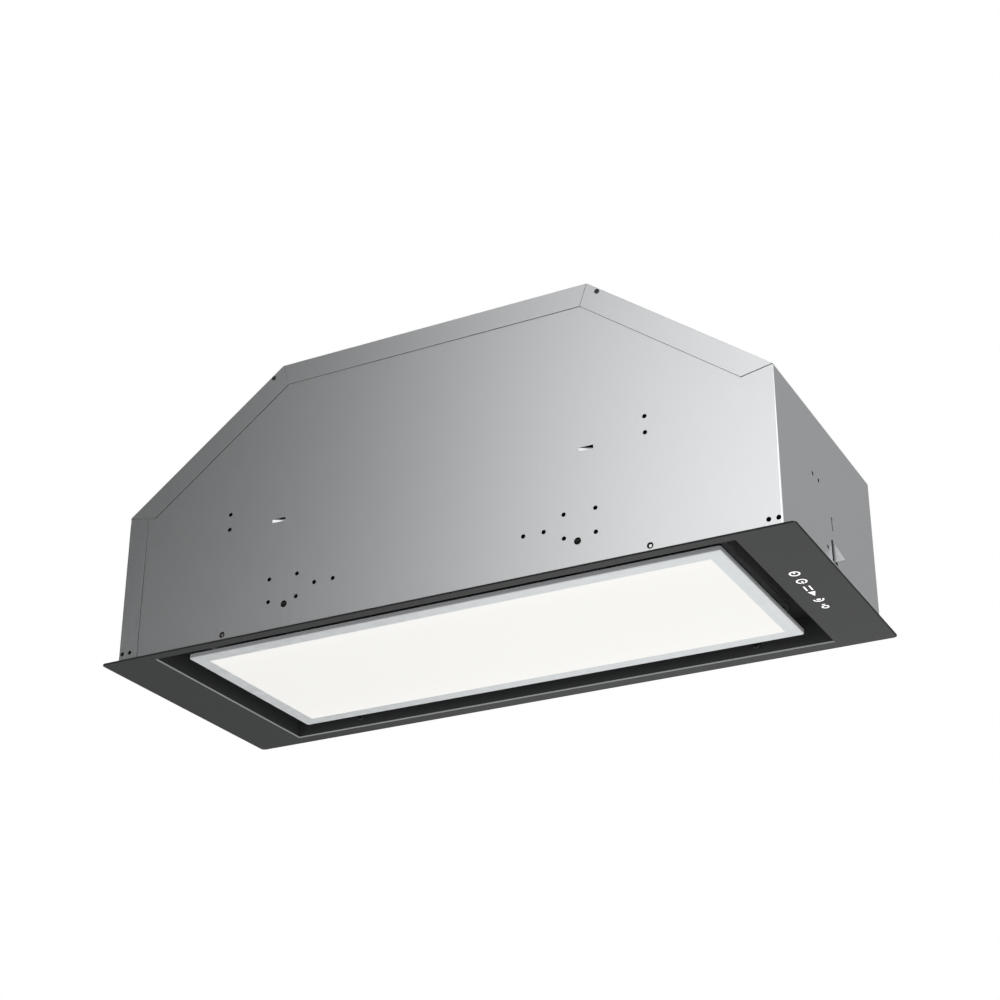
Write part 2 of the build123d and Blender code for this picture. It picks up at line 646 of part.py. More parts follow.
def corner_brackets():
    """Folded corner pieces on the trim plate, inside each corner of the casing."""
    top = TRIM_SHEET + BRACKET_HEIGHT
    inner_x = X_WALL_IN - BRACKET_LEG
    inner_y = BRACKET_LEG - Y_WALL_IN
    leg_y = (-Y_WALL_IN, BRACKET_SHEET - Y_WALL_IN)
    leg_front = block((inner_x, X_WALL_IN), leg_y, (TRIM_SHEET, top))
    for x in CORNER_HOLE_XS:
        leg_front -= front_hole((x, CORNER_HOLE_HEIGHT), CORNER_HOLE_R, leg_y)
    leg_side = block((X_WALL_IN - BRACKET_SHEET, X_WALL_IN), (-Y_WALL_IN, inner_y), (TRIM_SHEET, top))
    foot = block((inner_x, X_WALL_IN), (-Y_WALL_IN, inner_y), (TRIM_SHEET, TRIM_SHEET + BRACKET_SHEET))
    bracket = leg_front + leg_side + foot
    pair = [bracket, mirrored_x(bracket)]
    return group(pair + [half_turn(one) for one in pair])


def trim_screws():
    """Screws from inside the intake, through the lip and into the shells."""
    screws = []
    for x in (-LIP_SCREW[0], LIP_SCREW[0]):
        z = LIP_SCREW[1]
        tip = Y_WALL - LIP_SCREW_SHY
        head = rod((x, Y_OPEN_FRONT, z), (x, Y_OPEN_FRONT + LIP_SCREW_HEAD, z), LIP_SCREW_HEAD_R)
        screws.append(head + rod((x, -tip, z), (x, Y_OPEN_FRONT, z), LIP_SCREW_R))
        head = rod((x, Y_OPEN_BACK - LIP_SCREW_HEAD, z), (x, Y_OPEN_BACK, z), LIP_SCREW_HEAD_R)
        screws.append(head + rod((x, Y_OPEN_BACK, z), (x, tip, z), LIP_SCREW_R))
    return group(screws)


def lip_spacers():
    """Short tubes that fill the space between the lip and the rear wall."""
    spacers = []
    for x in (-LIP_SCREW[0], LIP_SCREW[0]):
        start = (x, Y_OPEN_BACK + TRIM_SHEET, LIP_SCREW[1])
        end = (x, Y_WALL_IN, LIP_SCREW[1])
        spacers.append(pipe(start, end, SPACER_R, LIP_SCREW_R))
    return group(spacers)


def touch_glyphs():
    """White inlays that fill the symbols."""
    return group(touch_symbols())


def touch_housing():
    """The cover over the touch board, on the trim plate."""
    cover = block(
        (ICON_X - TOUCH_WIDTH / 2, ICON_X + TOUCH_WIDTH / 2),
        (-TOUCH_LENGTH / 2, TOUCH_LENGTH / 2),
        (TRIM_SHEET, TRIM_SHEET + TOUCH_HEIGHT),
    )
    return cover - touch_cavity((TRIM_SHEET, TRIM_SHEET + TOUCH_HEIGHT - TOUCH_WALL))


def touch_cavity(z_range):
    """The space inside the touch housing's walls."""
    half_width = TOUCH_WIDTH / 2 - TOUCH_WALL
    half_length = TOUCH_LENGTH / 2 - TOUCH_WALL
    return block((ICON_X - half_width, ICON_X + half_width), (-half_length, half_length), z_range)


def touch_board():
    """The sensor board behind the symbols."""
    bottom = TRIM_SHEET + TOUCH_BOARD_LIFT
    return touch_cavity((bottom, bottom + BOARD_THICK))


# ---- Shelf, rails and filters ---------------------------------------------------------------


def filter_shelf():
    """The sheet that parts the intake from the fan chamber, with a hole over each filter."""
    shelf = block((-X_WALL_IN, X_WALL_IN), (-Y_WALL_IN, Y_WALL_IN), (LIP_HEIGHT, SHELF_TOP))
    half_x = FILTER_WIDTH / 2 - SHELF_LEDGE
    half_y = Y_FILTER - SHELF_LEDGE
    near, far = SHELF_FLANGE_YS
    flange_bottom = LIP_HEIGHT - SHELF_FLANGE_DROP
    for side in (-1, 1):
        centre = side * FILTER_X
        shelf -= block((centre - half_x, centre + half_x), (-half_y, half_y), (LIP_HEIGHT, SHELF_TOP))
        wall = side * X_WALL_IN
        shelf -= block((wall - side * SHELF_NOTCH, wall), (-near, near), (LIP_HEIGHT, SHELF_TOP))
        for y_range in ((-far, -near), (near, far)):
            shelf += block((wall - side * SHELL_SHEET, wall), y_range, (flange_bottom, LIP_HEIGHT))
    return shelf


def front_filter_rail():
    """The rail that the filters' latch noses hook into."""
    face = -Y_FILTER - RAIL_GAP
    length = FILTER_X + FILTER_WIDTH / 2
    rail = block((-length, length), (face - RAIL_SHEET, face), (LIP_HEIGHT - RAIL_HANG, LIP_HEIGHT))
    rail += block((-length, length), (face - RAIL_FLANGE, face), (LIP_HEIGHT - RAIL_SHEET, LIP_HEIGHT))
    nose_bottom = LATCH_Z + (LATCH_HEIGHT - LATCH_NOSE_HEIGHT) / 2
    half = LATCH_NOSE_WIDTH / 2 + LATCH_SLOT_PLAY
    for side in (-1, 1):
        rail -= block(
            (side * FILTER_X - half, side * FILTER_X + half),
            (face - RAIL_SHEET, face),
            (nose_bottom - CLEARANCE, nose_bottom + LATCH_NOSE_HEIGHT + CLEARANCE),
        )
    return rail


def rear_filter_rail():
    """The rail with a ledge that the filters' rear edges rest on."""
    face = Y_FILTER + RAIL_GAP
    length = FILTER_X + FILTER_WIDTH / 2
    ledge_top = FILTER_BOTTOM - CLEARANCE
    ledge_bottom = ledge_top - RAIL_SHEET
    rail = block((-length, length), (face, face + RAIL_SHEET), (ledge_bottom, LIP_HEIGHT))
    return rail + block((-length, length), (face - RAIL_LEDGE, face), (ledge_bottom, ledge_top))


def latch_land(side):
    """The solid part of the filter's front rim that holds the latch."""
    centre = side * FILTER_X
    length = LATCH_SETBACK + LATCH_LENGTH + SPRING_LENGTH + FILTER_WALL
    half = LATCH_LAND_WIDTH / 2
    land_y = (-Y_FILTER, length - Y_FILTER)
    return block((centre - half, centre + half), land_y, (FILTER_BOTTOM, LIP_HEIGHT))


def latch_room(side):
    """The space in the land that the latch and its spring slide in."""
    centre = side * FILTER_X
    half = LATCH_WIDTH / 2 + SLIDE_FIT
    plate_top = LATCH_Z + LATCH_HEIGHT + SLIDE_FIT
    room = block(
        (centre - half, centre + half),
        (LATCH_FRONT, LATCH_FRONT + LATCH_LENGTH + SPRING_LENGTH),
        (FILTER_BOTTOM + LATCH_FLOOR, plate_top),
    )
    nose = LATCH_NOSE_WIDTH / 2 + SLIDE_FIT
    nose_bottom = LATCH_Z + (LATCH_HEIGHT - LATCH_NOSE_HEIGHT) / 2
    room += block(
        (centre - nose, centre + nose),
        (-Y_FILTER, LATCH_FRONT),
        (nose_bottom - SLIDE_FIT, nose_bottom + LATCH_NOSE_HEIGHT + SLIDE_FIT),
    )
    grip = LATCH_GRIP_WIDTH / 2 + SLIDE_FIT
    grip_front = LATCH_GRIP_SETBACK - Y_FILTER
    room += block(
        (centre - grip, centre + grip),
        (grip_front - SLIDE_FIT, grip_front + LATCH_GRIP_DEPTH + LATCH_TRAVEL + SLIDE_FIT),
        (FILTER_BOTTOM, FILTER_BOTTOM + LATCH_FLOOR),
    )
    return room


def filter_box(side, inset, z_inset):
    """A block inside a filter's outline."""
    centre = side * FILTER_X
    half_x = FILTER_WIDTH / 2 - inset
    half_y = Y_FILTER - inset
    z_range = (FILTER_BOTTOM + z_inset, LIP_HEIGHT - z_inset)
    return block((centre - half_x, centre + half_x), (-half_y, half_y), z_range)


def filter_frame(side):
    """A filter's channel rim, with the latch's land at the front."""
    frame = filter_box(side, 0, 0) - filter_box(side, FILTER_RIM, 0)
    frame -= filter_box(side, FILTER_RIM - FILTER_GROOVE, FILTER_WALL)
    frame += latch_land(side)
    return frame - latch_room(side)


def filter_mesh(side):
    """The pad of expanded metal in the filter's rim."""
    return filter_box(side, FILTER_RIM - FILTER_GROOVE, FILTER_WALL) - latch_land(side)


def filter_latch(side):
    """The latch: plate, nose and finger grip in one piece."""
    centre = side * FILTER_X
    half = LATCH_WIDTH / 2
    plate_z = (LATCH_Z, LATCH_Z + LATCH_HEIGHT)
    latch = block((centre - half, centre + half), (LATCH_FRONT, LATCH_FRONT + LATCH_LENGTH), plate_z)
    nose = LATCH_NOSE_WIDTH / 2
    nose_bottom = LATCH_Z + (LATCH_HEIGHT - LATCH_NOSE_HEIGHT) / 2
    nose_z = (nose_bottom, nose_bottom + LATCH_NOSE_HEIGHT)
    latch += block((centre - nose, centre + nose), (-Y_FILTER - LATCH_NOSE_REACH, LATCH_FRONT), nose_z)
    grip = LATCH_GRIP_WIDTH / 2
    grip_front = LATCH_GRIP_SETBACK - Y_FILTER
    grip_y = (grip_front, grip_front + LATCH_GRIP_DEPTH)
    grip_z = (FILTER_BOTTOM - LATCH_GRIP_DROP, LATCH_Z)
    return latch + block((centre - grip, centre + grip), grip_y, grip_z)


def latch_spring(side):
    """The spring that pushes the latch out, as the tube that its wire fills."""
    centre = side * FILTER_X
    start = LATCH_FRONT + LATCH_LENGTH
    z = LATCH_Z + LATCH_HEIGHT / 2
    return pipe((centre, start, z), (centre, start + SPRING_LENGTH, z), SPRING_R, SPRING_BORE_R)


# ---- Light panel ----------------------------------------------------------------------------


def panel_frame():
    """The panel's metal rim, bevelled round its face, with a ledge under the diffuser."""
    width = 2 * X_PANEL
    depth = Y_PANEL_BACK - Y_PANEL_FRONT
    middle = Pos(0, (Y_PANEL_BACK + Y_PANEL_FRONT) / 2, PANEL_LIFT)
    body = middle * extrude(RectangleRounded(width, depth, PANEL_CORNER_R), PANEL_THICK)
    face_edges = body.faces().sort_by(Axis.Z)[0].edges()
    body = chamfer(face_edges, PANEL_BEVEL)
    body -= panel_slab(PANEL_BORDER, (PANEL_LIFT, LEDGE_Z))
    body -= panel_slab(PANEL_BAR, (LEDGE_Z, PANEL_BACK_Z))
    for place in panel_screw_places() + foot_screw_places():
        body -= rod((*place, PANEL_BACK_Z - PANEL_SCREW_LENGTH), (*place, PANEL_BACK_Z), PANEL_SCREW_R)
    return body


def diffuser():
    """The stepped glowing plate: its face fills the rim, its flange lies on the ledge."""
    flange_inset = PANEL_BAR + DIFFUSER_PLAY
    face = panel_slab(PANEL_BORDER + DIFFUSER_PLAY / 2, (PANEL_LIFT + DIFFUSER_SHY, LEDGE_Z))
    return face + panel_slab(flange_inset, (LEDGE_Z, LEDGE_Z + DIFFUSER_FLANGE))


def led_row_gap():
    """How far the light guide stops short of the rim, to leave room for an LED strip."""
    return LED_STRIP_THICK + LED_STRIP_PLAY


def light_guide():
    """The clear plate that spreads the LED strips' light."""
    inset = PANEL_BAR + DIFFUSER_PLAY
    return panel_slab(inset, (LEDGE_Z + DIFFUSER_FLANGE, PANEL_BACK_Z), led_row_gap())


def led_strips():
    """One strip along the front edge of the light guide and one along its rear edge."""
    half = X_PANEL - PANEL_BAR - LED_STRIP_END_GAP
    bottom = LEDGE_Z + DIFFUSER_FLANGE
    z_range = (bottom, bottom + LED_STRIP_HEIGHT)
    front = Y_PANEL_FRONT + PANEL_BAR
    back = Y_PANEL_BACK - PANEL_BAR
    strips = [block((-half, half), (front, front + LED_STRIP_THICK), z_range)]
    strips.append(block((-half, half), (back - LED_STRIP_THICK, back), z_range))
    return group(strips)


def reflector():
    """The white film behind the light guide."""
    inset = TRAY_WALL_INSET + TRAY_SHEET
    return panel_slab(inset, (PANEL_BACK_Z, PANEL_BACK_Z + REFLECTOR_THICK))


def panel_tray():
    """The panel's back cover: a flat rim and a raised middle, in thin sheet."""
    tray = panel_slab(TRAY_RIM_INSET, (PANEL_BACK_Z, PANEL_BACK_Z + TRAY_SHEET))
    tray += panel_slab(TRAY_WALL_INSET, (PANEL_BACK_Z, TRAY_TOP))
    tray -= panel_slab(TRAY_WALL_INSET + TRAY_SHEET, (PANEL_BACK_Z, TRAY_TOP - TRAY_SHEET))
    for place in panel_screw_places():
        tray -= rod((*place, PANEL_BACK_Z), (*place, PANEL_BACK_Z + TRAY_SHEET), PANEL_SCREW_R)
    return tray


def panel_screw_places():
    """The tray's screws, evenly spaced along the panel's front and rear."""
    span = X_PANEL - PANEL_SCREW_INSET
    step = 2 * span / (PANEL_SCREW_COLUMNS - 1)
    xs = [-span + column * step for column in range(PANEL_SCREW_COLUMNS)]
    ys = (Y_PANEL_FRONT + PANEL_SCREW_INSET, Y_PANEL_BACK - PANEL_SCREW_INSET)
    return [(x, y) for x in xs for y in ys]


def foot_screw_places():
    """The screws that hold the hinge ears' feet to the panel's rim."""
    y = Y_PANEL_BACK - HINGE_FOOT_DEPTH / 2
    places = []
    for side in (-1, 1):
        for offset in (-HINGE_FOOT_SCREW_X, HINGE_FOOT_SCREW_X):
            places.append((side * HINGE_X + offset, y))
    return places


def panel_screws():
    """All screws of the light panel."""
    screws = []
    seats = [(place, TRAY_SHEET) for place in panel_screw_places()]
    seats += [(place, HINGE_FOOT_SHEET) for place in foot_screw_places()]
    for place, sheet in seats:
        seat = PANEL_BACK_Z + sheet
        shank = rod((*place, PANEL_BACK_Z - PANEL_SCREW_LENGTH), (*place, seat), PANEL_SCREW_R)
        screws.append(shank + rod((*place, seat), (*place, seat + PANEL_SCREW_HEAD), PANEL_SCREW_HEAD_R))
    return group(screws)


def hinge_ear(side):
    """The moving half of a hinge: a foot on the panel's rim and a knuckle round the pin."""
    centre = side * HINGE_X
    foot = block(
        (centre - HINGE_FOOT_WIDTH / 2, centre + HINGE_FOOT_WIDTH / 2),
        (Y_PANEL_BACK - HINGE_FOOT_DEPTH, Y_PANEL_BACK),
        (PANEL_BACK_Z, PANEL_BACK_Z + HINGE_FOOT_SHEET),
    )
    half = KNUCKLE_WIDTH / 2
    web = block(
        (centre - half, centre + half),
        (HINGE_Y - KNUCKLE_R, HINGE_Y + HINGE_INSET),
        (PANEL_BACK_Z, HINGE_AXIS_Z),
    )
    start = (centre - half, HINGE_Y, HINGE_AXIS_Z)
    end = (centre + half, HINGE_Y, HINGE_AXIS_Z)
    ear = foot + web + rod(start, end, KNUCKLE_R)
    for x, y in foot_screw_places():
        ear -= rod((x, y, PANEL_BACK_Z), (x, y, PANEL_BACK_Z + HINGE_FOOT_SHEET), PANEL_SCREW_R)
    return ear - rod(start, end, HINGE_PIN_R + RUNNING_FIT)


def hinge_bracket(side):
    """The fixed half of a hinge, under the shelf, with an ear on each side of the knuckle."""
    centre = side * HINGE_X
    front = HINGE_Y - KNUCKLE_R
    base_z = LIP_HEIGHT - HINGE_BASE_SHEET
    base_x = (centre - HINGE_BASE_WIDTH / 2, centre + HINGE_BASE_WIDTH / 2)
    bracket = block(base_x, (front, Y_OPEN_BACK - HINGE_BASE_GAP), (base_z, LIP_HEIGHT))
    for end in (-1, 1):
        inner = centre + end * (KNUCKLE_WIDTH / 2 + CLEARANCE)
        outer = inner + end * HINGE_EAR_SHEET
        bracket += block((inner, outer), (front, HINGE_Y + KNUCKLE_R), (HINGE_AXIS_Z, base_z))
        ear_start = (inner, HINGE_Y, HINGE_AXIS_Z)
        ear_end = (outer, HINGE_Y, HINGE_AXIS_Z)
        bracket += rod(ear_start, ear_end, KNUCKLE_R)
        bracket -= rod(ear_start, ear_end, HINGE_PIN_R)
    return bracket


def hinge_pins():
    """One headed pin through each hinge."""
    pins = []
    reach = KNUCKLE_WIDTH / 2 + CLEARANCE + HINGE_EAR_SHEET
    for side in (-1, 1):
        centre = side * HINGE_X
        start = (centre - reach, HINGE_Y, HINGE_AXIS_Z)
        end = (centre + reach, HINGE_Y, HINGE_AXIS_Z)
        tip = (centre + reach + HINGE_PIN_HEAD, HINGE_Y, HINGE_AXIS_Z)
        pins.append(rod(start, end, HINGE_PIN_R) + rod(end, tip, HINGE_PIN_HEAD_R))
    return group(pins)


def both_catches(y_range, z_range, half_width):
    """The same block at the left and right catch."""
    blocks = []
    for side in (-1, 1):
        centre = side * CATCH_X
        blocks.append(block((centre - half_width, centre + half_width), y_range, z_range))
    return blocks


def catch_brackets():
    """Angles on the front of the lip that carry the catch magnets."""
    half = CATCH_WIDTH / 2 + CATCH_SHEET
    leg_z = (CATCH_ARM_Z - CATCH_LEG_DROP, CATCH_ARM_Z + CATCH_SHEET + CATCH_LEG_RISE)
    legs = both_catches((Y_OPEN_FRONT, Y_OPEN_FRONT + CATCH_SHEET), leg_z, half)
    arms = both_catches(
        (Y_OPEN_FRONT + CATCH_SHEET, Y_PANEL_FRONT + MAGNET_DEPTH),
        (CATCH_ARM_Z, CATCH_ARM_Z + CATCH_SHEET),
        half,
    )
    return group(leg + arm for leg, arm in zip(legs, arms))


def catch_magnets():
    """The magnets that hold the panel shut."""
    y_range = (Y_PANEL_FRONT, Y_PANEL_FRONT + MAGNET_DEPTH)
    return group(both_catches(y_range, (MAGNET_BOTTOM, CATCH_ARM_Z), CATCH_WIDTH / 2))


def strike_plates():
    """The steel plates on the panel's rim that the magnets pull."""
    front = Y_PANEL_FRONT + PANEL_BEVEL
    z_range = (PANEL_BACK_Z, PANEL_BACK_Z + STRIKE_SHEET)
    return group(both_catches((front, front + STRIKE_DEPTH), z_range, CATCH_WIDTH / 2))


# ---- Blower ---------------------------------------------------------------------------------


def scroll_radius(angle):
    """The scroll's distance from the fan's axis, growing evenly from the cut-off to its mouth."""
    turned = (angle - CUTOFF_ANGLE) / (360 - CUTOFF_ANGLE)
    return SCROLL_MIN_R + SCROLL_GROWTH * turned


def lug_drop():
    """How far the scroll's lowest lug reaches below the fan's axis."""
    reach = scroll_radius(LOW_LUG_ANGLE) + LUG_OFFSET
    return LUG_R - reach * sin(radians(LOW_LUG_ANGLE))


FAN_HEIGHT = SHELF_TOP + SCROLL_LIFT + lug_drop()


def scroll_point(angle, inset):
    """A point on the scroll's spiral, as x and height, at an angle from its mouth's side."""
    radius = scroll_radius(angle) - inset
    return (FAN_X + radius * cos(radians(angle)), FAN_HEIGHT + radius * sin(radians(angle)))


def scroll_outline(inset):
    """The scroll seen from the front: a growing spiral and a straight mouth going up."""
    half = OUTLET_WIDTH / 2 - inset
    step = (360 - CUTOFF_ANGLE) / (2 * SCROLL_ARCS)
    angles = [CUTOFF_ANGLE + index * step for index in range(2 * SCROLL_ARCS + 1)]
    points = [scroll_point(angle, inset) for angle in angles]
    curves = [ThreePointArc(*points[2 * index:2 * index + 3]) for index in range(SCROLL_ARCS)]
    corners = [points[-1], (half, SCROLL_TOP), (-half, SCROLL_TOP)]
    if inset > 0:
        corners.append((-half, points[0][1]))
    corners.append(points[0])
    curves += [Line(near, far) for near, far in zip(corners, corners[1:])]
    return Plane.XZ * make_face(curves)


def lug_places():
    """The scroll's screw lugs, just outside its spiral."""
    return [scroll_point(angle, -LUG_OFFSET) for angle in LUG_ANGLES]


def scroll_front():
    """The front half of the fan's casing."""
    half = SCROLL_WIDTH / 2
    shell = extrude(scroll_outline(0), half, dir=(0, -1, 0))
    for x, z in lug_places():
        shell += rod((x, -LUG_LENGTH, z), (x, 0, z), LUG_R)
    flange = COLLAR_BASE / 2
    shell += block((-flange, flange), (-flange, 0), (SCROLL_TOP - SCROLL_WALL, SCROLL_TOP))
    shell -= extrude(scroll_outline(SCROLL_WALL), half - SCROLL_WALL, dir=(0, -1, 0))
    shell -= rod((FAN_X, -half, FAN_HEIGHT), (FAN_X, SCROLL_WALL - half, FAN_HEIGHT), INLET_R)
    for x, z in lug_places():
        shell -= rod((x, -LUG_LENGTH, z), (x, 0, z), SCROLL_SCREW_R)
    for x, y in collar_screw_places():
        shell -= rod((x, y, SCROLL_TOP - SCROLL_WALL), (x, y, SCROLL_TOP), COLLAR_SCREW_R)
    return shell


def scroll_rear():
    """The rear half of the fan's casing, which also carries the motor."""
    shell = mirror(scroll_front(), Plane.XZ)
    half = SCROLL_WIDTH / 2
    for x, z in arm_places():
        shell -= rod((x, half - SCROLL_WALL, z), (x, half, z), BRACKET_SCREW_R)
    return shell


def scroll_screws():
    """Screws that clamp the two scroll halves at their lugs."""
    screws = []
    top = -LUG_LENGTH - SCROLL_SCREW_HEAD
    for x, z in lug_places():
        shank = rod((x, -LUG_LENGTH, z), (x, LUG_LENGTH, z), SCROLL_SCREW_R)
        screws.append(shank + rod((x, top, z), (x, -LUG_LENGTH, z), SCROLL_SCREW_HEAD_R))
    return group(screws)


def impeller_rings():
    """The fan wheel's middle disc with its hub, and the ring at each end."""
    half = IMPELLER_WIDTH / 2
    disc = fan_rod(-IMPELLER_RING / 2, IMPELLER_RING / 2, IMPELLER_R)
    disc += fan_rod(-HUB_FRONT, HUB_BACK, HUB_R)
    disc -= fan_rod(-HUB_FRONT, HUB_BACK, SHAFT_R)
    rings = []
    for start, end in ((-half, IMPELLER_RING - half), (half - IMPELLER_RING, half)):
        rings.append(fan_rod(start, end, IMPELLER_R) - fan_rod(start, end, IMPELLER_R - BLADE_DEPTH))
    return group([disc, *rings])


def blade(side):
    """One leaning blade at the top of the wheel, from its middle disc to an end ring."""
    length = IMPELLER_WIDTH / 2 - 1.5 * IMPELLER_RING
    plate = Box(BLADE_SHEET, length, BLADE_DEPTH)
    place = (0, side * (IMPELLER_RING + length) / 2, IMPELLER_R - BLADE_DEPTH / 2)
    return Pos(*place) * Rot(0, BLADE_LEAN, 0) * plate


def impeller_blades():
    """The blades in front of the wheel's middle disc and those behind it."""
    blades = []
    for side in (-1, 1):
        for index in range(BLADE_COUNT):
            turned = Rot(0, index * 360 / BLADE_COUNT, 0) * blade(side)
            blades.append(Pos(FAN_X, 0, FAN_HEIGHT) * turned)
    return group(blades)


def fan_rod(y_start, y_end, radius):
    """A round bar along the fan's axis."""
    return rod((FAN_X, y_start, FAN_HEIGHT), (FAN_X, y_end, FAN_HEIGHT), radius)


def motor_shaft():
    """The shaft that carries the impeller and runs in the motor's bearings."""
    return fan_rod(-SHAFT_NOSE, MOTOR_BACK + SHAFT_TAIL, SHAFT_R)


def motor():
    """The motor's body, with a seat for a bearing at each end."""
    body = fan_rod(MOTOR_FRONT, MOTOR_BACK, MOTOR_R)
    body -= fan_rod(MOTOR_FRONT, MOTOR_FRONT + BEARING_LENGTH, BEARING_R)
    body -= fan_rod(MOTOR_BACK - BEARING_LENGTH, MOTOR_BACK, BEARING_R)
    return body - fan_rod(MOTOR_FRONT, MOTOR_BACK, SHAFT_R + SHAFT_ROOM)


def motor_bearings():
    """The plain bearings at the motor's two ends."""
    bearings = []
    for start in (MOTOR_FRONT, MOTOR_BACK - BEARING_LENGTH):
        ring = fan_rod(start, start + BEARING_LENGTH, BEARING_R)
        bearings.append(ring - fan_rod(start, start + BEARING_LENGTH, SHAFT_R + RUNNING_FIT))
    return group(bearings)


def arm_angles():
    """Directions of the motor bracket's arms, measured from straight up."""
    return [index * 360 / ARM_COUNT for index in range(ARM_COUNT)]


def arm_places():
    """The motor bracket's screw points, as x and height."""
    places = []
    for angle in arm_angles():
        x = FAN_X + GROMMET_CIRCLE_R * sin(radians(angle))
        places.append((x, FAN_HEIGHT + GROMMET_CIRCLE_R * cos(radians(angle))))
    return places


def motor_bracket():
    """The three-armed plate behind the motor."""
    plate = rod((0, 0, 0), (0, ARM_SHEET, 0), ARM_HUB_R)
    for angle in arm_angles():
        arm_z = (0, GROMMET_CIRCLE_R + ARM_END)
        arm = block((-ARM_WIDTH / 2, ARM_WIDTH / 2), (0, ARM_SHEET), arm_z)
        plate += Rot(0, angle, 0) * arm
    plate -= rod((0, 0, 0), (0, ARM_SHEET, 0), BEARING_R)
    plate = Pos(FAN_X, MOTOR_BACK, FAN_HEIGHT) * plate
    for x, z in arm_places():
        plate -= rod((x, MOTOR_BACK, z), (x, MOTOR_BACK + ARM_SHEET, z), BRACKET_SCREW_R)
    return plate


def motor_grommets():
    """Rubber tubes between the motor bracket and the scroll."""
    grommets = []
    for x, z in arm_places():
        start = (x, SCROLL_WIDTH / 2, z)
        grommets.append(pipe(start, (x, MOTOR_BACK, z), GROMMET_R, BRACKET_SCREW_R))
    return group(grommets)


def bracket_screws():
    """Screws through the bracket's arms and the grommets into the scroll."""
    screws = []
    start = SCROLL_WIDTH / 2 - SCROLL_WALL
    seat = MOTOR_BACK + ARM_SHEET
    top = seat + BRACKET_SCREW_HEAD
    for x, z in arm_places():
        shank = rod((x, start, z), (x, seat, z), BRACKET_SCREW_R)
        screws.append(shank + rod((x, seat, z), (x, top, z), BRACKET_SCREW_HEAD_R))
    return group(screws)


# ---- Duct collar and flaps ------------------------------------------------------------------


def collar_screw_places():
    """The four screws at the corners of the collar's base."""
    offsets = (-COLLAR_SCREW_XY, COLLAR_SCREW_XY)
    return [(x, y) for x in offsets for y in offsets]


def duct_collar():
    """The round collar that the duct slides over, with a ledge and a bar for the flaps."""
    half = COLLAR_BASE / 2
    base_top = CASING_TOP + COLLAR_BASE_SHEET
    top = CASING_TOP + COLLAR_HEIGHT
    collar = block((-half, half), (-half, half), (CASING_TOP, base_top))
    collar += rod((0, 0, CASING_TOP), (0, 0, top), COLLAR_R)
    collar -= rod((0, 0, CASING_TOP), (0, 0, top), DUCT_R)
    ledge_top = FLAP_BOTTOM - CLEARANCE
    ledge_bottom = ledge_top - LEDGE_HEIGHT
    collar += pipe((0, 0, ledge_bottom), (0, 0, ledge_top), DUCT_R, DUCT_R - LEDGE_WIDTH)
    reach = DUCT_R - LEDGE_WIDTH
    bar_z = (ledge_bottom, ledge_bottom + BAR_HEIGHT)
    collar += block((-BAR_HALF_WIDTH, BAR_HALF_WIDTH), (-reach, reach), bar_z)
    for x in (-FLAP_AXIS_X, FLAP_AXIS_X):
        collar -= rod((x, -COLLAR_R, FLAP_AXIS_Z), (x, COLLAR_R, FLAP_AXIS_Z), FLAP_PIN_R)
    for place in collar_screw_places():
        collar -= rod((*place, CASING_TOP), (*place, base_top), COLLAR_SCREW_R)
    return collar


def flap(side):
    """A half-round backdraft flap with a knuckle along its pin."""
    radius = DUCT_R - FLAP_GAP
    top = FLAP_BOTTOM + FLAP_SHEET
    disc = rod((0, 0, FLAP_BOTTOM), (0, 0, top), radius)
    edge = FLAP_AXIS_X + FLAP_SETBACK
    plate = disc & block((edge, radius), (-radius, radius), (FLAP_BOTTOM, top))
    half = DUCT_R - FLAP_KNUCKLE_END
    plate += block((FLAP_AXIS_X, edge), (-half, half), (FLAP_BOTTOM, top))
    start = (FLAP_AXIS_X, -half, FLAP_AXIS_Z)
    end = (FLAP_AXIS_X, half, FLAP_AXIS_Z)
    plate += rod(start, end, FLAP_KNUCKLE_R)
    plate -= rod(start, end, FLAP_PIN_R + RUNNING_FIT)
    return plate if side > 0 else mirrored_x(plate)


def flap_pins():
    """The flaps' two pins, held in the collar's wall."""
    pins = []
    for x in (-FLAP_AXIS_X, FLAP_AXIS_X):
        pins.append(rod((x, -DUCT_R, FLAP_AXIS_Z), (x, DUCT_R, FLAP_AXIS_Z), FLAP_PIN_R))
    return group(pins)


def collar_screws():
    """Screws down through the collar's base and the roof into the scroll's flange."""
    screws = []
    tip = SCROLL_TOP - SCROLL_WALL - COLLAR_SCREW_TIP
    seat = CASING_TOP + COLLAR_BASE_SHEET
    top = seat + COLLAR_SCREW_HEAD
    for place in collar_screw_places():
        shank = rod((*place, tip), (*place, seat), COLLAR_SCREW_R)
        screws.append(shank + rod((*place, seat), (*place, top), COLLAR_SCREW_HEAD_R))
    return group(screws)


# ---- Electrical pieces ----------------------------------------------------------------------


def inset_range(limits, wall):
    """A pair of limits drawn in by a wall at each end."""
    return (limits[0] + wall, limits[1] - wall)


def control_box():
    """The open-topped box for the mains electronics."""
    top = SHELF_TOP + CONTROL_BOX_HEIGHT
    box = block(CONTROL_BOX_X, CONTROL_BOX_Y, (SHELF_TOP, top))
    inside_x = inset_range(CONTROL_BOX_X, BOX_WALL)
    inside_y = inset_range(CONTROL_BOX_Y, BOX_WALL)
    return box - block(inside_x, inside_y, (SHELF_TOP + BOX_WALL, top))


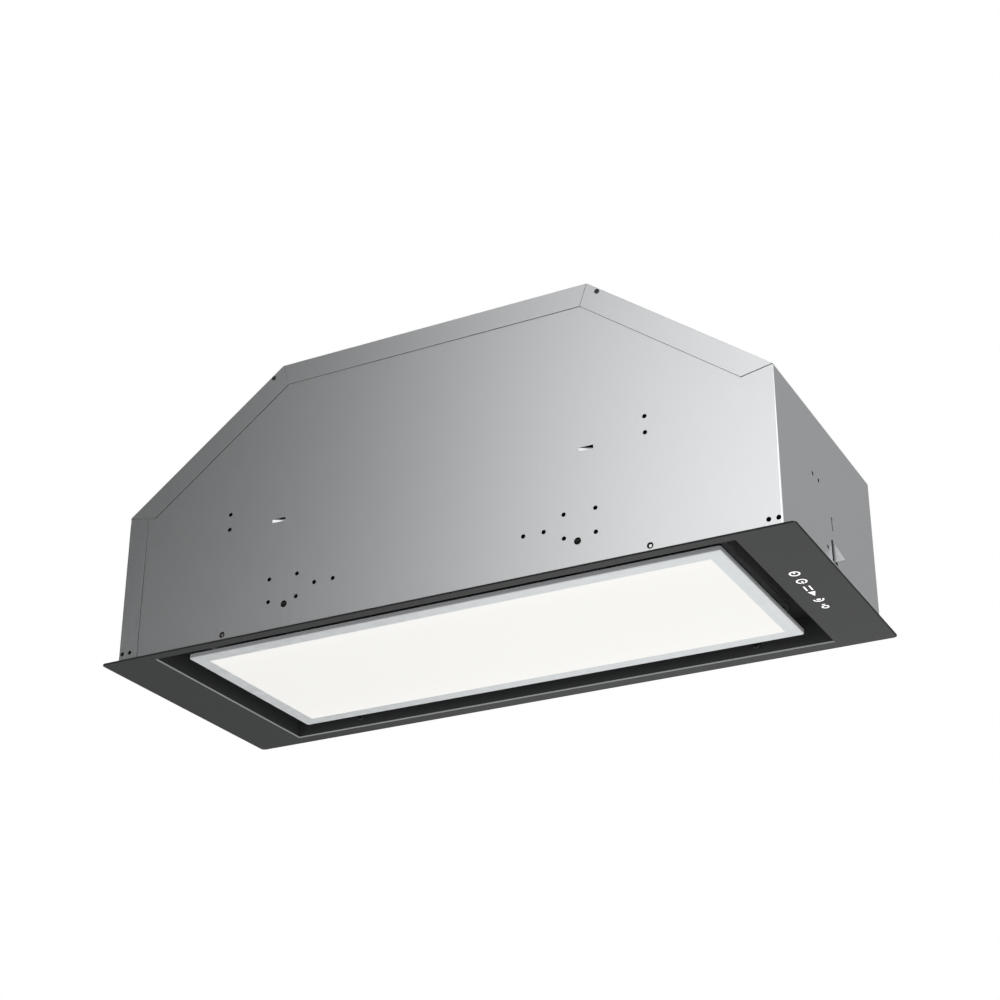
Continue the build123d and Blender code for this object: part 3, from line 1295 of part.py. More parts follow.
def control_lid():
    """The box's lid, with a rib that drops inside its walls."""
    bottom = SHELF_TOP + CONTROL_BOX_HEIGHT
    lid = block(CONTROL_BOX_X, CONTROL_BOX_Y, (bottom, bottom + LID_THICK))
    rib_x = inset_range(CONTROL_BOX_X, BOX_WALL)
    rib_y = inset_range(CONTROL_BOX_Y, BOX_WALL)
    rib_z = (bottom - LID_THICK, bottom)
    room = block(inset_range(rib_x, BOX_WALL), inset_range(rib_y, BOX_WALL), rib_z)
    return lid + (block(rib_x, rib_y, rib_z) - room)


def control_board():
    """The circuit board in the control box, held by the box's walls."""
    bottom = SHELF_TOP + BOX_WALL + BOX_BOARD_LIFT
    inside_x = inset_range(CONTROL_BOX_X, BOX_WALL)
    inside_y = inset_range(CONTROL_BOX_Y, BOX_WALL)
    return block(inside_x, inside_y, (bottom, bottom + BOARD_THICK))


def capacitor():
    """The motor's run capacitor, standing on the shelf."""
    top = SHELF_TOP + CAPACITOR_HEIGHT
    return rod((*CAPACITOR_PLACE, SHELF_TOP), (*CAPACITOR_PLACE, top), CAPACITOR_R)


def led_driver():
    """The light panel's power supply, on the shelf at the left."""
    left = DRIVER_SIDE_GAP - X_WALL
    half = DRIVER_LENGTH / 2
    return block((left, left + DRIVER_WIDTH), (-half, half), (SHELF_TOP, SHELF_TOP + DRIVER_HEIGHT))


def mains_gland():
    """The cable gland in the roof, with its nut inside."""
    top = CASING_TOP + GLAND_HEIGHT
    nut_bottom = SCROLL_TOP - GLAND_NUT
    gland = gland_rod(CASING_TOP, CASING_TOP + GLAND_FLANGE, GLAND_FLANGE_R)
    gland += gland_rod(CASING_TOP, top, GLAND_CAP_R)
    gland += gland_rod(nut_bottom, CASING_TOP, GLAND_THREAD_R)
    gland += gland_rod(nut_bottom, SCROLL_TOP, GLAND_NUT_R)
    return gland - gland_rod(nut_bottom, top, GLAND_BORE_R)


def gland_rod(bottom, top, radius):
    """An upright round bar at the gland's place."""
    return rod((*GLAND_PLACE, bottom), (*GLAND_PLACE, top), radius)


def lead(points, radius):
    """A round lead along straight runs joined by the largest arcs that the runs allow."""
    corners = [Vector(point) for point in points]
    radii = []
    for before, corner, after in zip(corners, corners[1:], corners[2:]):
        turn = (corner - before).get_angle(after - corner)
        run = min((corner - before).length, (after - corner).length)
        radii.append(LEAD_ARC_SHARE * run / tan(radians(turn / 2)))
    print("lead's bend radii", [round(bend) for bend in radii])
    path = FilletPolyline(*corners, radius=radii)
    start = Plane(origin=corners[0], z_dir=corners[1] - corners[0])
    return sweep(start * Circle(radius), path=path)


def supply_lead():
    """The mains lead from the gland to the control box."""
    start = (*GLAND_PLACE, SCROLL_TOP - GLAND_NUT)
    entry = (sum(CONTROL_BOX_X) / 2, CONTROL_BOX_Y[1], SHELF_TOP + SUPPLY_ENTRY_LIFT)
    bends = lead_bends(start, entry, SUPPLY_BENDS)
    return lead([start, *bends, before_entry(entry), entry], SUPPLY_LEAD_R)


def motor_lead():
    """The motor's lead from its rear face to the control box."""
    start = (FAN_X + (MOTOR_R + ARM_HUB_R) / 2, MOTOR_BACK, FAN_HEIGHT)
    entry_x = CONTROL_BOX_X[0] + MOTOR_ENTRY_INSET
    entry = (entry_x, CONTROL_BOX_Y[1], SHELF_TOP + MOTOR_ENTRY_LIFT)
    bends = lead_bends(start, entry, MOTOR_BENDS)
    return lead([start, *bends, before_entry(entry), entry], MOTOR_LEAD_R)


def lead_bends(start, entry, bends):
    """A lead's bends between where it starts and where it goes into the control box."""
    way = Vector(entry) - Vector(start)
    return [Vector(start) + Vector(x * way.X, y, z * way.Z) for x, y, z in bends]


def before_entry(entry):
    """Where a lead straightens out before it goes into the control box."""
    return Vector(entry) + Vector(0, LEAD_ENTRY_RUN, 0)


# ---- Every node -----------------------------------------------------------------------------


def all_parts():
    """Each node's name and solid."""
    parts = {
        "trim_frame": trim_frame(),
        "corner_brackets": corner_brackets(),
        "trim_screws": trim_screws(),
        "lip_spacers": lip_spacers(),
        "front_shell": front_shell(),
        "rear_shell": rear_shell(),
        "roof_sheet": roof_sheet(),
        "roof_rivets": roof_rivets(),
        "filter_shelf": filter_shelf(),
        "filter_rails": group([front_filter_rail(), rear_filter_rail()]),
        "hinge_pins": hinge_pins(),
        "catch_brackets": catch_brackets(),
        "catch_magnets": catch_magnets(),
        "strike_plates": strike_plates(),
        "panel_frame": panel_frame(),
        "diffuser": diffuser(),
        "light_guide": light_guide(),
        "led_strips": led_strips(),
        "reflector": reflector(),
        "panel_tray": panel_tray(),
        "panel_screws": panel_screws(),
        "touch_glyphs": touch_glyphs(),
        "touch_housing": touch_housing(),
        "touch_board": touch_board(),
        "scroll_front": scroll_front(),
        "scroll_rear": scroll_rear(),
        "scroll_screws": scroll_screws(),
        "impeller_rings": impeller_rings(),
        "impeller_blades": impeller_blades(),
        "motor_shaft": motor_shaft(),
        "motor": motor(),
        "motor_bearings": motor_bearings(),
        "motor_bracket": motor_bracket(),
        "motor_grommets": motor_grommets(),
        "bracket_screws": bracket_screws(),
        "duct_collar": duct_collar(),
        "flap_pins": flap_pins(),
        "collar_screws": collar_screws(),
        "control_box": control_box(),
        "control_lid": control_lid(),
        "control_board": control_board(),
        "capacitor": capacitor(),
        "led_driver": led_driver(),
        "mains_gland": mains_gland(),
        "supply_lead": supply_lead(),
        "motor_lead": motor_lead(),
    }
    for word, side in (("left", -1), ("right", 1)):
        parts[f"filter_frame_{word}"] = filter_frame(side)
        parts[f"filter_mesh_{word}"] = filter_mesh(side)
        parts[f"filter_latch_{word}"] = filter_latch(side)
        parts[f"latch_spring_{word}"] = latch_spring(side)
        parts[f"hinge_bracket_{word}"] = hinge_bracket(side)
        parts[f"hinge_ear_{word}"] = hinge_ear(side)
        parts[f"flap_{word}"] = flap(side)
    return parts


os.makedirs("parts", exist_ok=True)
for name, shape in all_parts().items():
    export_step(shape, f"parts/{name}.step")
    print(name, round(shape.volume / 1000, 2), "cm3")
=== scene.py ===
# %% [markdown]
# # Dressing a range hood insert
# The CAD model gives this hood its shapes and sizes. What is left for Blender is what the eye
# sees: rolled folds, expanded metal, screw heads, paint, steel and light. First the imported model
# is loaded as a fixed frame.

import json
from math import cos, hypot, pi, radians, sin

import bmesh
import bpy
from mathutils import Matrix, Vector


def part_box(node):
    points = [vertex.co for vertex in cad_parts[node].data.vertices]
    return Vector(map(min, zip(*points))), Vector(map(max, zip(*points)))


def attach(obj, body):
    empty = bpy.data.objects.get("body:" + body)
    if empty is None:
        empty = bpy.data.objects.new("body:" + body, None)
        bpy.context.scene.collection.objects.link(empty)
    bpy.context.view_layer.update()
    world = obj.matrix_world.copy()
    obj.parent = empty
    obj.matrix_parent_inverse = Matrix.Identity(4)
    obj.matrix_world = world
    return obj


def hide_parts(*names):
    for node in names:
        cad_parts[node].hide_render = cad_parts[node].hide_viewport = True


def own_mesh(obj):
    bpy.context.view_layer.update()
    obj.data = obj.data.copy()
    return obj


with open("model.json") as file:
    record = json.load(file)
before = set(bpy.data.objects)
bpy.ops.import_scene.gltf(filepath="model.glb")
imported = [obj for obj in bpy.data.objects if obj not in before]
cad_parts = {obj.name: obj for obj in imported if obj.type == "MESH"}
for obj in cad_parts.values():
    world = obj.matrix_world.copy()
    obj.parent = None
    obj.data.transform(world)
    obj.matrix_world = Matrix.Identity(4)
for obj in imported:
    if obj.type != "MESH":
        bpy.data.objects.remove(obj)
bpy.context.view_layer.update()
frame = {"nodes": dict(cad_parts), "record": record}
nodes = frame["nodes"]

# %% [markdown]
# ## Camera
# The photograph looks up at the hood from below its right front corner. Its camera was found from
# the corners of the trim plate and the casing, so the view is set by a place, two angles and a
# lens. Aiming by hand would also work, but the edges would not fall where they do in the picture.

# %% Put the camera where the photograph was taken
MM = 0.001
CAMERA_PLACE = (801.0, -1536.4, -689.5)  # millimetres
CAMERA_RISE, CAMERA_TURN = 26.088, 27.307  # degrees above level, and to the left
LENS, SENSOR = 71.11, 36  # millimetres
scene = bpy.context.scene
camera_data = bpy.data.cameras.new("camera")
camera_data.sensor_width = SENSOR
camera_data.lens = LENS
camera = bpy.data.objects.new("camera", camera_data)
camera.location = Vector(CAMERA_PLACE) * MM
camera.rotation_euler = (radians(90 + CAMERA_RISE), 0, radians(CAMERA_TURN))
scene.collection.objects.link(camera)
scene.camera = camera
scene.view_settings.view_transform = "Standard"
print("camera at", [round(value, 3) for value in camera.location])

# %% [markdown]
# ## Floor and world
# A hood hangs at head height, so a plain pale floor lies well below it. The background is white
# because the world shows white to the camera, to mirrors and through glass. Only the light that
# reaches matt surfaces is lower, so nothing gets washed out.

# %% A helper that starts a node material
def new_shader(name):
    """A material's tree with nothing in it but its output."""
    material = bpy.data.materials.new(name)
    material.use_nodes = True
    tree = material.node_tree
    tree.nodes.clear()
    output = tree.nodes.new("ShaderNodeOutputMaterial")
    return material, tree, output


def add(tree, kind, settings=None, **values):
    """A node with some of its settings and inputs filled in."""
    node = tree.nodes.new("ShaderNode" + kind)
    for key, value in (settings or {}).items():
        setattr(node, key, value)
    for key, value in values.items():
        node.inputs[key.replace("_", " ")].default_value = value
    return node


def link(tree, source, socket, target, name):
    """Join one node's output to another's input."""
    tree.links.new(source.outputs[socket], target.inputs[name])


def map_range(tree, start, end, low, high):
    """A node that turns values from start to end into values from low to high."""
    return add(tree, "MapRange", From_Min=start, From_Max=end, To_Min=low, To_Max=high)


# %% White to the camera, to mirrors and through glass
def seen_rays(tree):
    """One for rays from the camera, a mirror or a glass, else nought."""
    path = add(tree, "LightPath")
    either = add(tree, "Math", {"operation": "MAXIMUM"})
    link(tree, path, "Is Camera Ray", either, 0)
    link(tree, path, "Is Glossy Ray", either, 1)
    third = add(tree, "Math", {"operation": "MAXIMUM"})
    link(tree, either, 0, third, 0)
    link(tree, path, "Is Transmission Ray", third, 1)
    return third


AMBIENT = 0.62
world = bpy.data.worlds.new("white studio")
world.use_nodes = True
scene.world = world
world_tree = world.node_tree
world_tree.nodes.clear()
world_output = world_tree.nodes.new("ShaderNodeOutputWorld")
backdrop = add(world_tree, "Background", Color=(1, 1, 1, 1), Strength=1)
level = map_range(world_tree, 0, 1, AMBIENT, 1)
link(world_tree, seen_rays(world_tree), 0, level, "Value")
link(world_tree, level, "Result", backdrop, "Strength")
link(world_tree, backdrop, "Background", world_output, "Surface")
print("world: 1 where it shows,", AMBIENT, "as light on matt surfaces")

# %% A pale floor that keeps the hood's shadow
FLOOR_HEIGHT, FLOOR_SIZE = -2.3, 60
FLOOR_COLOR = (0.82, 0.82, 0.82, 1)
FLOOR_GLOW = 0.45


def floor_paint():
    """Matt pale paint that looks a little brighter than it lights."""
    material, tree, output = new_shader("pale floor")
    matt = add(tree, "BsdfDiffuse", Color=FLOOR_COLOR)
    glow = add(tree, "Emission", Color=(1, 1, 1, 1), Strength=FLOOR_GLOW)
    both = add(tree, "AddShader")
    only_seen = add(tree, "MixShader")
    link(tree, matt, "BSDF", both, 0)
    link(tree, glow, "Emission", both, 1)
    link(tree, seen_rays(tree), 0, only_seen, 0)
    link(tree, matt, "BSDF", only_seen, 1)
    link(tree, both, "Shader", only_seen, 2)
    link(tree, only_seen, "Shader", output, "Surface")
    return material


bpy.ops.mesh.primitive_plane_add(size=FLOOR_SIZE, location=(0, 0, FLOOR_HEIGHT))
floor = bpy.context.object
floor.name = "floor"
floor.data.materials.append(floor_paint())
print("floor", FLOOR_HEIGHT, "m below the trim plate")

# %% [markdown]
# ## Lamps and grey cards
# Sheet metal shows what stands round it. The front wall runs from dark at the left to bright at
# the right because a photographer put a soft lamp in front of it and a grey card at its left.
# The cards here are seen only by reflections. A second lamp from the left rear lights the back.

# %% A helper that places something so that it faces the hood
AIM = Vector((0, 0, 0.14))


def around(azimuth, elevation, distance):
    """A point round the hood: azimuth goes from the front (0) towards the right (90)."""
    flat = distance * cos(radians(elevation))
    turn = radians(azimuth)
    return AIM + Vector((flat * sin(turn), -flat * cos(turn), distance * sin(radians(elevation))))


def face_hood(thing, place):
    """Put a lamp or card at a place, looking at the hood."""
    thing.location = place
    thing.rotation_euler = (AIM - place).to_track_quat("-Z", "Y").to_euler()


# %% Soft lamps
def soft_lamp(name, place, width, height, power):
    """A rectangular soft lamp that itself stays out of the picture."""
    data = bpy.data.lights.new(name, "AREA")
    data.shape = "RECTANGLE"
    data.size = width
    data.size_y = height
    data.energy = power
    lamp = bpy.data.objects.new(name, data)
    scene.collection.objects.link(lamp)
    face_hood(lamp, place)
    lamp.visible_camera = False
    print(name, "radiance", round(power / (pi * width * height), 2))


soft_lamp("key lamp", around(3, 15, 3.2), 2.8, 2.9, 42)
soft_lamp("rear lamp", around(-150, 40, 3.4), 1.6, 1.6, 20)

# %% Grey cards that only reflections see
CARD_FADE = (-0.3, 0.2)  # from where to where the grey changes: the card is 1 high


def grey_card(name, place, width, height, low, high):
    """A card whose glow runs from one grey at its foot to another at its head."""
    bpy.ops.mesh.primitive_plane_add(size=1)
    card = bpy.context.object
    card.name = name
    card.scale = (width, height, 1)
    face_hood(card, place)
    material, tree, output = new_shader(name)
    where = add(tree, "TexCoord")
    split = add(tree, "SeparateXYZ")
    ramp = map_range(tree, *CARD_FADE, low, high)
    ramp.interpolation_type = "SMOOTHSTEP"
    shine = add(tree, "Emission", Color=(1, 1, 1, 1))
    link(tree, where, "Object", split, "Vector")
    link(tree, split, "Y", ramp, "Value")
    link(tree, ramp, "Result", shine, "Strength")
    link(tree, shine, "Emission", output, "Surface")
    material.cycles.emission_sampling = "NONE"
    card.data.materials.append(material)
    for rays in ("camera", "diffuse", "transmission", "volume_scatter", "shadow"):
        setattr(card, "visible_" + rays, False)


grey_card("front card", around(3, 15, 3.4), 3.0, 3.1, 0.15, 0.15)
grey_card("left card", around(-61, 16, 3.0), 4.0, 4.0, 0.26, 0.0)
grey_card("high card", around(-20, 62, 3.0), 5.0, 2.4, 0.02, 0.3)
grey_card("rear card", around(155, 22, 3.0), 3.6, 4.0, 0.41, 0.41)
grey_card("low card", around(-134, -20, 3.0), 1.6, 1.7, 0.16, 0.16)

# %% [markdown]
# ## Finishes
# Every finish here is worked out by nodes, with no picture. Real surfaces are never one flat
# colour: rolled steel has a grain, powder coat an orange peel, zinc its crystals. Each finish
# starts as one shader, and a pattern then shifts its colour, polish and relief a little. The
# patterns use Object coordinates, which stay with a piece when it moves.

# %% Helpers that build a finish
WEAK, STRONG = 0.25, 0.75  # a pattern's values under and over these count as its ends


def surface(name, color, metallic, roughness, **more):
    """A material with its shader set, ready for patterns."""
    material, tree, output = new_shader(name)
    basics = {"Base_Color": (*color, 1), "Metallic": metallic, "Roughness": roughness}
    shader = add(tree, "BsdfPrincipled", **basics, **more)
    link(tree, shader, "BSDF", output, "Surface")
    return material, tree, shader


def on_piece(tree, draw_out=(1, 1, 1)):
    """Places on the piece, with a pattern drawn out so many times along each axis."""
    where = add(tree, "TexCoord")
    drawn = add(tree, "Mapping", Scale=[1 / times for times in draw_out])
    link(tree, where, "Object", drawn, "Vector")
    return drawn


def noise(tree, size, detail=2.0, draw_out=(1, 1, 1)):
    """Soft random spots, so many millimetres across."""
    spots = add(tree, "TexNoise", Scale=1 / (size * MM), Detail=detail)
    link(tree, on_piece(tree, draw_out), "Vector", spots, "Vector")
    return spots


def crystals(tree, size):
    """Flat random cells, so many millimetres across."""
    cells = add(tree, "TexVoronoi", Scale=1 / (size * MM))
    link(tree, on_piece(tree), "Vector", cells, "Vector")
    return cells


def tint(tree, shader, pattern, socket, dark, light):
    """The base colour goes from dark to light with a pattern."""
    ramp = add(tree, "ValToRGB")
    ramp.color_ramp.elements[0].position = WEAK
    ramp.color_ramp.elements[0].color = (*dark, 1)
    ramp.color_ramp.elements[1].position = STRONG
    ramp.color_ramp.elements[1].color = (*light, 1)
    link(tree, pattern, socket, ramp, "Fac")
    link(tree, ramp, "Color", shader, "Base Color")


def polish(tree, shader, pattern, socket, low, high):
    """The roughness goes from low to high with a pattern."""
    ramp = map_range(tree, WEAK, STRONG, low, high)
    link(tree, pattern, socket, ramp, "Value")
    link(tree, ramp, "Result", shader, "Roughness")


def relief(tree, shader, pattern, socket, depth, strength):
    """The pattern stands out by a depth in millimetres."""
    bump = add(tree, "Bump", Strength=strength, Distance=depth * MM)
    link(tree, pattern, socket, bump, "Height")
    link(tree, bump, "Normal", shader, "Normal")


def shades(color, spread):
    """A colour somewhat darker and the same one somewhat lighter."""
    return [c * (1 - spread) for c in color], [min(1, c * (1 + spread)) for c in color]


def clouded(name, color, metallic, roughness, spots, spread, swing, bump=None, **more):
    """A finish whose colour, polish and relief follow one noise.

    The spots have a size, detail and way of drawing out. The colour goes either way by a spread,
    the roughness down and up by a swing. The bump has a depth and strength.
    """
    material, tree, shader = surface(name, color, metallic, roughness, **more)
    pattern = noise(tree, *spots)
    tint(tree, shader, pattern, "Fac", *shades(color, spread))
    polish(tree, shader, pattern, "Fac", roughness - swing[0], roughness + swing[1])
    if bump:
        relief(tree, shader, pattern, "Fac", *bump)
    return material


# %% The colours written in the part's record
colors = {entry["slot"]: entry["base_color"] for entry in frame["record"]["materials"]}
finish = {}
print(len(colors), "finishes to make")

# %% [markdown]
# ### Sheet steel
# The casing is satin steel with a grain that the rolling mill left in it. It runs up and down the
# walls, and from front to back over the roof. Noise drawn out sixty times along the grain gives the
# fine lines. A wide soft noise could add dents, but the photograph shows a flat wall. The folds get
# a paler, smoother steel: the paler colour is a painted highlight. The cut edges get a near-black
# finish: partly the laser's oxide, partly painted shade in slits, in holes and under the laps.

# %% Brushed steel, with the way that its grain runs
GRAIN = 60


def brushed_steel(name, color, grain, roughness):
    """Satin steel, with grain drawn out along one axis."""
    lines = (0.5, 3.0, grain)
    bump = (0.002, 0.2)
    return clouded(name, color, 1.0, roughness, lines, spread=0.02, swing=(0.03, 0.04), bump=bump)


steel = colors["casing_steel"]
finish["casing_steel"] = brushed_steel("wall steel", steel, (1, 1, GRAIN), 0.36)
finish["roof_steel"] = brushed_steel("roof steel", steel, (1, GRAIN, 1), 0.36)

# %% Paler steel on a fold, as a painted highlight, with a fine uneven skin and no grain
# How much paler the folds are: a painted highlight.
FOLD_HIGHLIGHT_GAIN = 1.55
bright = [min(1, FOLD_HIGHLIGHT_GAIN * c) for c in steel]
skin = {"spread": 0.06, "swing": (0.04, 0.06)}
finish["fold_highlight"] = clouded("fold with painted highlight", bright, 1.0, 0.2, (0.6, 3.0), **skin)


# %% Cut edges: the laser's dark oxide, and painted shade
def blacken_edges_and_shade():
    """Near black: the laser's oxide on a cut edge, darkened further as painted shade."""
    near_black = (0.008, 0.008, 0.008)
    material, tree, shader = surface("laser-cut edge and painted shade", near_black, 0.0, 0.8, Specular_IOR_Level=0.1)
    scale = noise(tree, 0.3, detail=3.0)
    tint(tree, shader, scale, "Fac", (0.006, 0.006, 0.006), (0.012, 0.011, 0.010))
    polish(tree, shader, scale, "Fac", 0.7, 0.9)
    return material


finish["black_edge_and_shade"] = blacken_edges_and_shade()


# %% Zinc-coated sheet for the hidden plates, with its crystals
def zinc_sheet(name, color):
    """Galvanised sheet: flat crystals, each with its own shade and polish."""
    material, tree, shader = surface(name, color, 1.0, 0.4)
    flakes = crystals(tree, 9.0)
    grey = add(tree, "SeparateColor")
    link(tree, flakes, "Color", grey, "Color")
    tint(tree, shader, grey, "Red", *shades(color, 0.08))
    polish(tree, shader, grey, "Green", 0.30, 0.48)
    return material


finish["inner_steel"] = zinc_sheet("zinc-coated sheet", colors["inner_steel"])

# %% Plated screws and small steel pieces, bright and a little cloudy
zinc = colors["screw_steel"]
clouds = {"spread": 0.08, "swing": (0.08, 0.08)}
finish["screw_steel"] = clouded("zinc plating", zinc, 1.0, 0.28, (1.6, 3.0), **clouds)

# %% [markdown]
# ### Paint
# The trim plate is powder coated in a matt anthracite. Powder melts into a skin with a faint
# orange peel, under a millimetre across, which breaks up its shine. Inner black pieces have a
# thinner coat, so their peel is finer. The bends at the opening get a paler coat as a painted
# highlight. The plate's outer edge is darker, and the opening's right wall is darkened as
# painted shade.

# %% Powder coat
# The first makes the painted highlight on the bends; the second the darker edge and the painted shade
# in the recess.
BEND_HIGHLIGHT_GAIN, DARK_EDGE_SHARE = 7, 0.35  # how much paler or darker the plate's colour gets


def powder_coat(name, color, roughness, peel, depth, shine=0.5):
    """Matt paint with an orange peel of a size and depth in millimetres."""
    look = {"spread": 0.07, "swing": (0.05, 0.06), "bump": (depth, 0.4)}
    return clouded(name, color, 0.0, roughness, (peel, 3.0), Specular_IOR_Level=shine, **look)


anthracite = colors["trim_paint"]
bend_highlight_color = [BEND_HIGHLIGHT_GAIN * c for c in anthracite]
dark_edge_and_shade_color = [DARK_EDGE_SHARE * c for c in anthracite]
finish["trim_paint"] = powder_coat("anthracite powder coat", anthracite, 0.46, 0.7, 0.03, shine=0.12)
finish["black_steel"] = powder_coat("black coat", colors["black_steel"], 0.5, 0.4, 0.02)
# The bends' paler coat is a painted highlight.
finish["bend_highlight"] = powder_coat("painted highlight on a bend", bend_highlight_color, 0.3, 0.7, 0.02)
# The darker coat: along the plate's outer edge, and as painted shade on the recess wall.
finish["darker_edge_and_recess_shade"] = powder_coat("darker edge and painted recess shade", dark_edge_and_shade_color, 0.6, 0.7, 0.02, shine=0.1)

# %% [markdown]
# ### Aluminium
# The light panel's rim is satin anodised aluminium, cool in colour. Its side is painted lighter,
# as painted light where the recess shades it, and its bevel gets a painted highlight. The filters
# are plain aluminium with longer scratches, since they go through the dishwasher.

# %% Satin aluminium
RIM_SCRATCHES, RIM_PALER = (12, 12, 1), 1.1
# The rim side's colour is painted light; the bevel's colour is a painted highlight.
RIM_SIDE_PAINTED_LIGHT = (0.90, 0.93, 0.96)
RIM_BEVEL_HIGHLIGHT = (0.97, 0.98, 0.99)


def satin_aluminium(name, color, roughness, grain, metallic=1.0):
    """Aluminium with short fine scratches and a cloudy polish."""
    look = {"spread": 0.04, "swing": (0.05, 0.06), "bump": (0.015, 0.3)}
    return clouded(name, color, metallic, roughness, (0.8, 4.0, grain), **look)


pale = [min(1, RIM_PALER * c) for c in colors["panel_metal"]]
finish["panel_metal"] = satin_aluminium("anodised rim", pale, 0.42, RIM_SCRATCHES, 0.34)
finish["rim_side_painted_light"] = satin_aluminium("rim's side, painted lighter", RIM_SIDE_PAINTED_LIGHT, 0.5, RIM_SCRATCHES, 0.0)
finish["rim_bevel_highlight"] = satin_aluminium("bevel with painted highlight", RIM_BEVEL_HIGHLIGHT, 0.25, RIM_SCRATCHES, 0.0)
filter_color, strand_color = colors["filter_aluminium"], colors["mesh_aluminium"]
finish["filter_aluminium"] = satin_aluminium("filter frame", filter_color, 0.38, (25, 4, 1))
finish["mesh_aluminium"] = satin_aluminium("filter mesh", strand_color, 0.36, (1, 1, 1))

# %% [markdown]
# ### The light
# The opal plate glows evenly, and a little more strongly towards its long edges, where the
# light enters. A plain emission would look like a hole in the picture, so the plate keeps a matt
# surface of its own, and only its glow is added. The touch symbols glow white in the same way.

# %% Opal plate, lit from its long edges
OPAL_COLOR = (0.42, 0.42, 0.41)
OPAL_GLOW, EDGE_GLOW = 0.64, 0.672
EDGE_POWER = 4  # how steeply the glow rises towards the edges


def opal_plate(glow_color):
    """Matt plastic that glows, a little more towards its front and rear edges."""
    glow = (*glow_color, 1)
    material, tree, shader = surface("opal plate", OPAL_COLOR, 0.0, 0.5, Emission_Color=glow)
    low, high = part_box("diffuser")
    where = add(tree, "TexCoord")
    split = add(tree, "SeparateXYZ")
    across = map_range(tree, low.y, high.y, -1, 1)
    edge = add(tree, "Math", {"operation": "POWER"})
    edge.inputs[1].default_value = EDGE_POWER
    shine = map_range(tree, 0, 1, OPAL_GLOW, EDGE_GLOW)
    link(tree, where, "Object", split, "Vector")
    link(tree, split, "Y", across, "Value")
    link(tree, across, "Result", edge, 0)
    link(tree, edge, 0, shine, "Value")
    link(tree, shine, "Result", shader, "Emission Strength")
    return material


finish["diffuser_white"] = opal_plate(colors["diffuser_white"])

# %% Touch symbols that glow
SYMBOL_GLOW = 0.7


def lit_symbol(color):
    """White inlay, lit from behind."""
    glow = {"Emission_Color": (1, 1, 1, 1), "Emission_Strength": SYMBOL_GLOW}
    material, tree, shader = surface("lit symbol", color, 0.0, 0.4, **glow)
    spots = noise(tree, 2.0)
    tint(tree, shader, spots, "Fac", (0.85, 0.85, 0.85), (0.95, 0.95, 0.95))
    return material


finish["glyph_white"] = lit_symbol(colors["glyph_white"])

# %% [markdown]
# ### Plastics and rubber
# Moulded plastic has a fine spark-eroded texture. The collar and latches are black, the fan and
# its casing grey. Rubber is rougher, and cable sheath smoother.

# %% Moulded plastics, with their roughness and their texture's size
def moulded(name, color, roughness, grain):
    """Plastic or rubber with an even moulded texture."""
    look = {"spread": 0.06, "swing": (0.05, 0.05), "bump": (0.02, 0.4)}
    return clouded(name, color, 0.0, roughness, (grain, 2.0), **look)


for slot, roughness, grain in (
    ("black_plastic", 0.45, 0.45),
    ("grey_plastic", 0.5, 0.6),
    ("white_film", 0.55, 3.0),
    ("led_board", 0.3, 1.5),
    ("capacitor_white", 0.28, 2.0),
    ("rubber", 0.75, 0.8),
    ("cable_grey", 0.5, 1.2),
):
    finish[slot] = moulded(slot.replace("_", " "), colors[slot], roughness, grain)

# %% Clear acrylic of the light guide
ACRYLIC_IOR = 1.49


def clear_acrylic(color):
    """Clear plastic with a slight haze."""
    clear = {"Transmission_Weight": 0.92, "IOR": ACRYLIC_IOR}
    material, tree, shader = surface("clear acrylic", color, 0.0, 0.08, **clear)
    haze = noise(tree, 8.0)
    polish(tree, shader, haze, "Fac", 0.05, 0.12)
    return material


finish["clear_acrylic"] = clear_acrylic(colors["clear_acrylic"])

# %% [markdown]
# ### The works
# Inside sit a motor of stacked steel sheets, bronze bearings, ferrite magnets and green circuit
# boards. They are hidden at rest, but the model is also looked at opened up, so they get their
# own patterns: layers on the motor, grains in bronze and ferrite.

# %% Circuit board with its tracks under the green coat
TRACK_PITCH, TRACK_SHARE = 9.0, 0.04
COAT_COLOR, DARK_COAT = (0.03, 0.22, 0.10, 1), (0.025, 0.19, 0.085, 1)
TRACK_COLOR = (0.06, 0.34, 0.16, 1)


def circuit_board(color):
    """A green coat, paler over tracks that run like the joints in brickwork."""
    material, tree, shader = surface("circuit board", color, 0.0, 0.3)
    joints = {"Mortar": TRACK_COLOR, "Mortar_Size": TRACK_SHARE, "Scale": 1 / (TRACK_PITCH * MM)}
    tracks = add(tree, "TexBrick", Color1=COAT_COLOR, Color2=DARK_COAT, **joints)
    link(tree, on_piece(tree), "Vector", tracks, "Vector")
    link(tree, tracks, "Color", shader, "Base Color")
    return material


finish["board_green"] = circuit_board(colors["board_green"])

# %% Motor of stacked sheets, with layers across its axis
sheets = (1.4, 3.0, (400, 1, 400))
layers = {"spread": 0.25, "swing": (0.08, 0.10), "bump": (0.15, 0.5)}
iron = colors["motor_metal"]
finish["motor_metal"] = clouded("motor stack", iron, 0.85, 0.42, sheets, **layers)


# %% Bronze and ferrite grains
def grained(name, color, metallic, roughness):
    """A pressed powder metal or ferrite, with its grains."""
    return clouded(name, color, metallic, roughness, (0.9, 4.0), spread=0.15, swing=(0.06, 0.08))


finish["bronze"] = grained("bronze", colors["bronze"], 1.0, 0.35)
finish["magnet"] = grained("magnet", colors["magnet"], 0.6, 0.55)

# %% [markdown]
# ## Every CAD piece gets its finish
# The record says which finish each node has. The roof is the same steel as the walls, but its
# grain runs another way.

# %% Put the finishes on the nodes
slot_of = {entry["node"]: entry["material_slot"] for entry in frame["record"]["subparts"]}
turned_grain = {"roof_sheet": "roof_steel"}


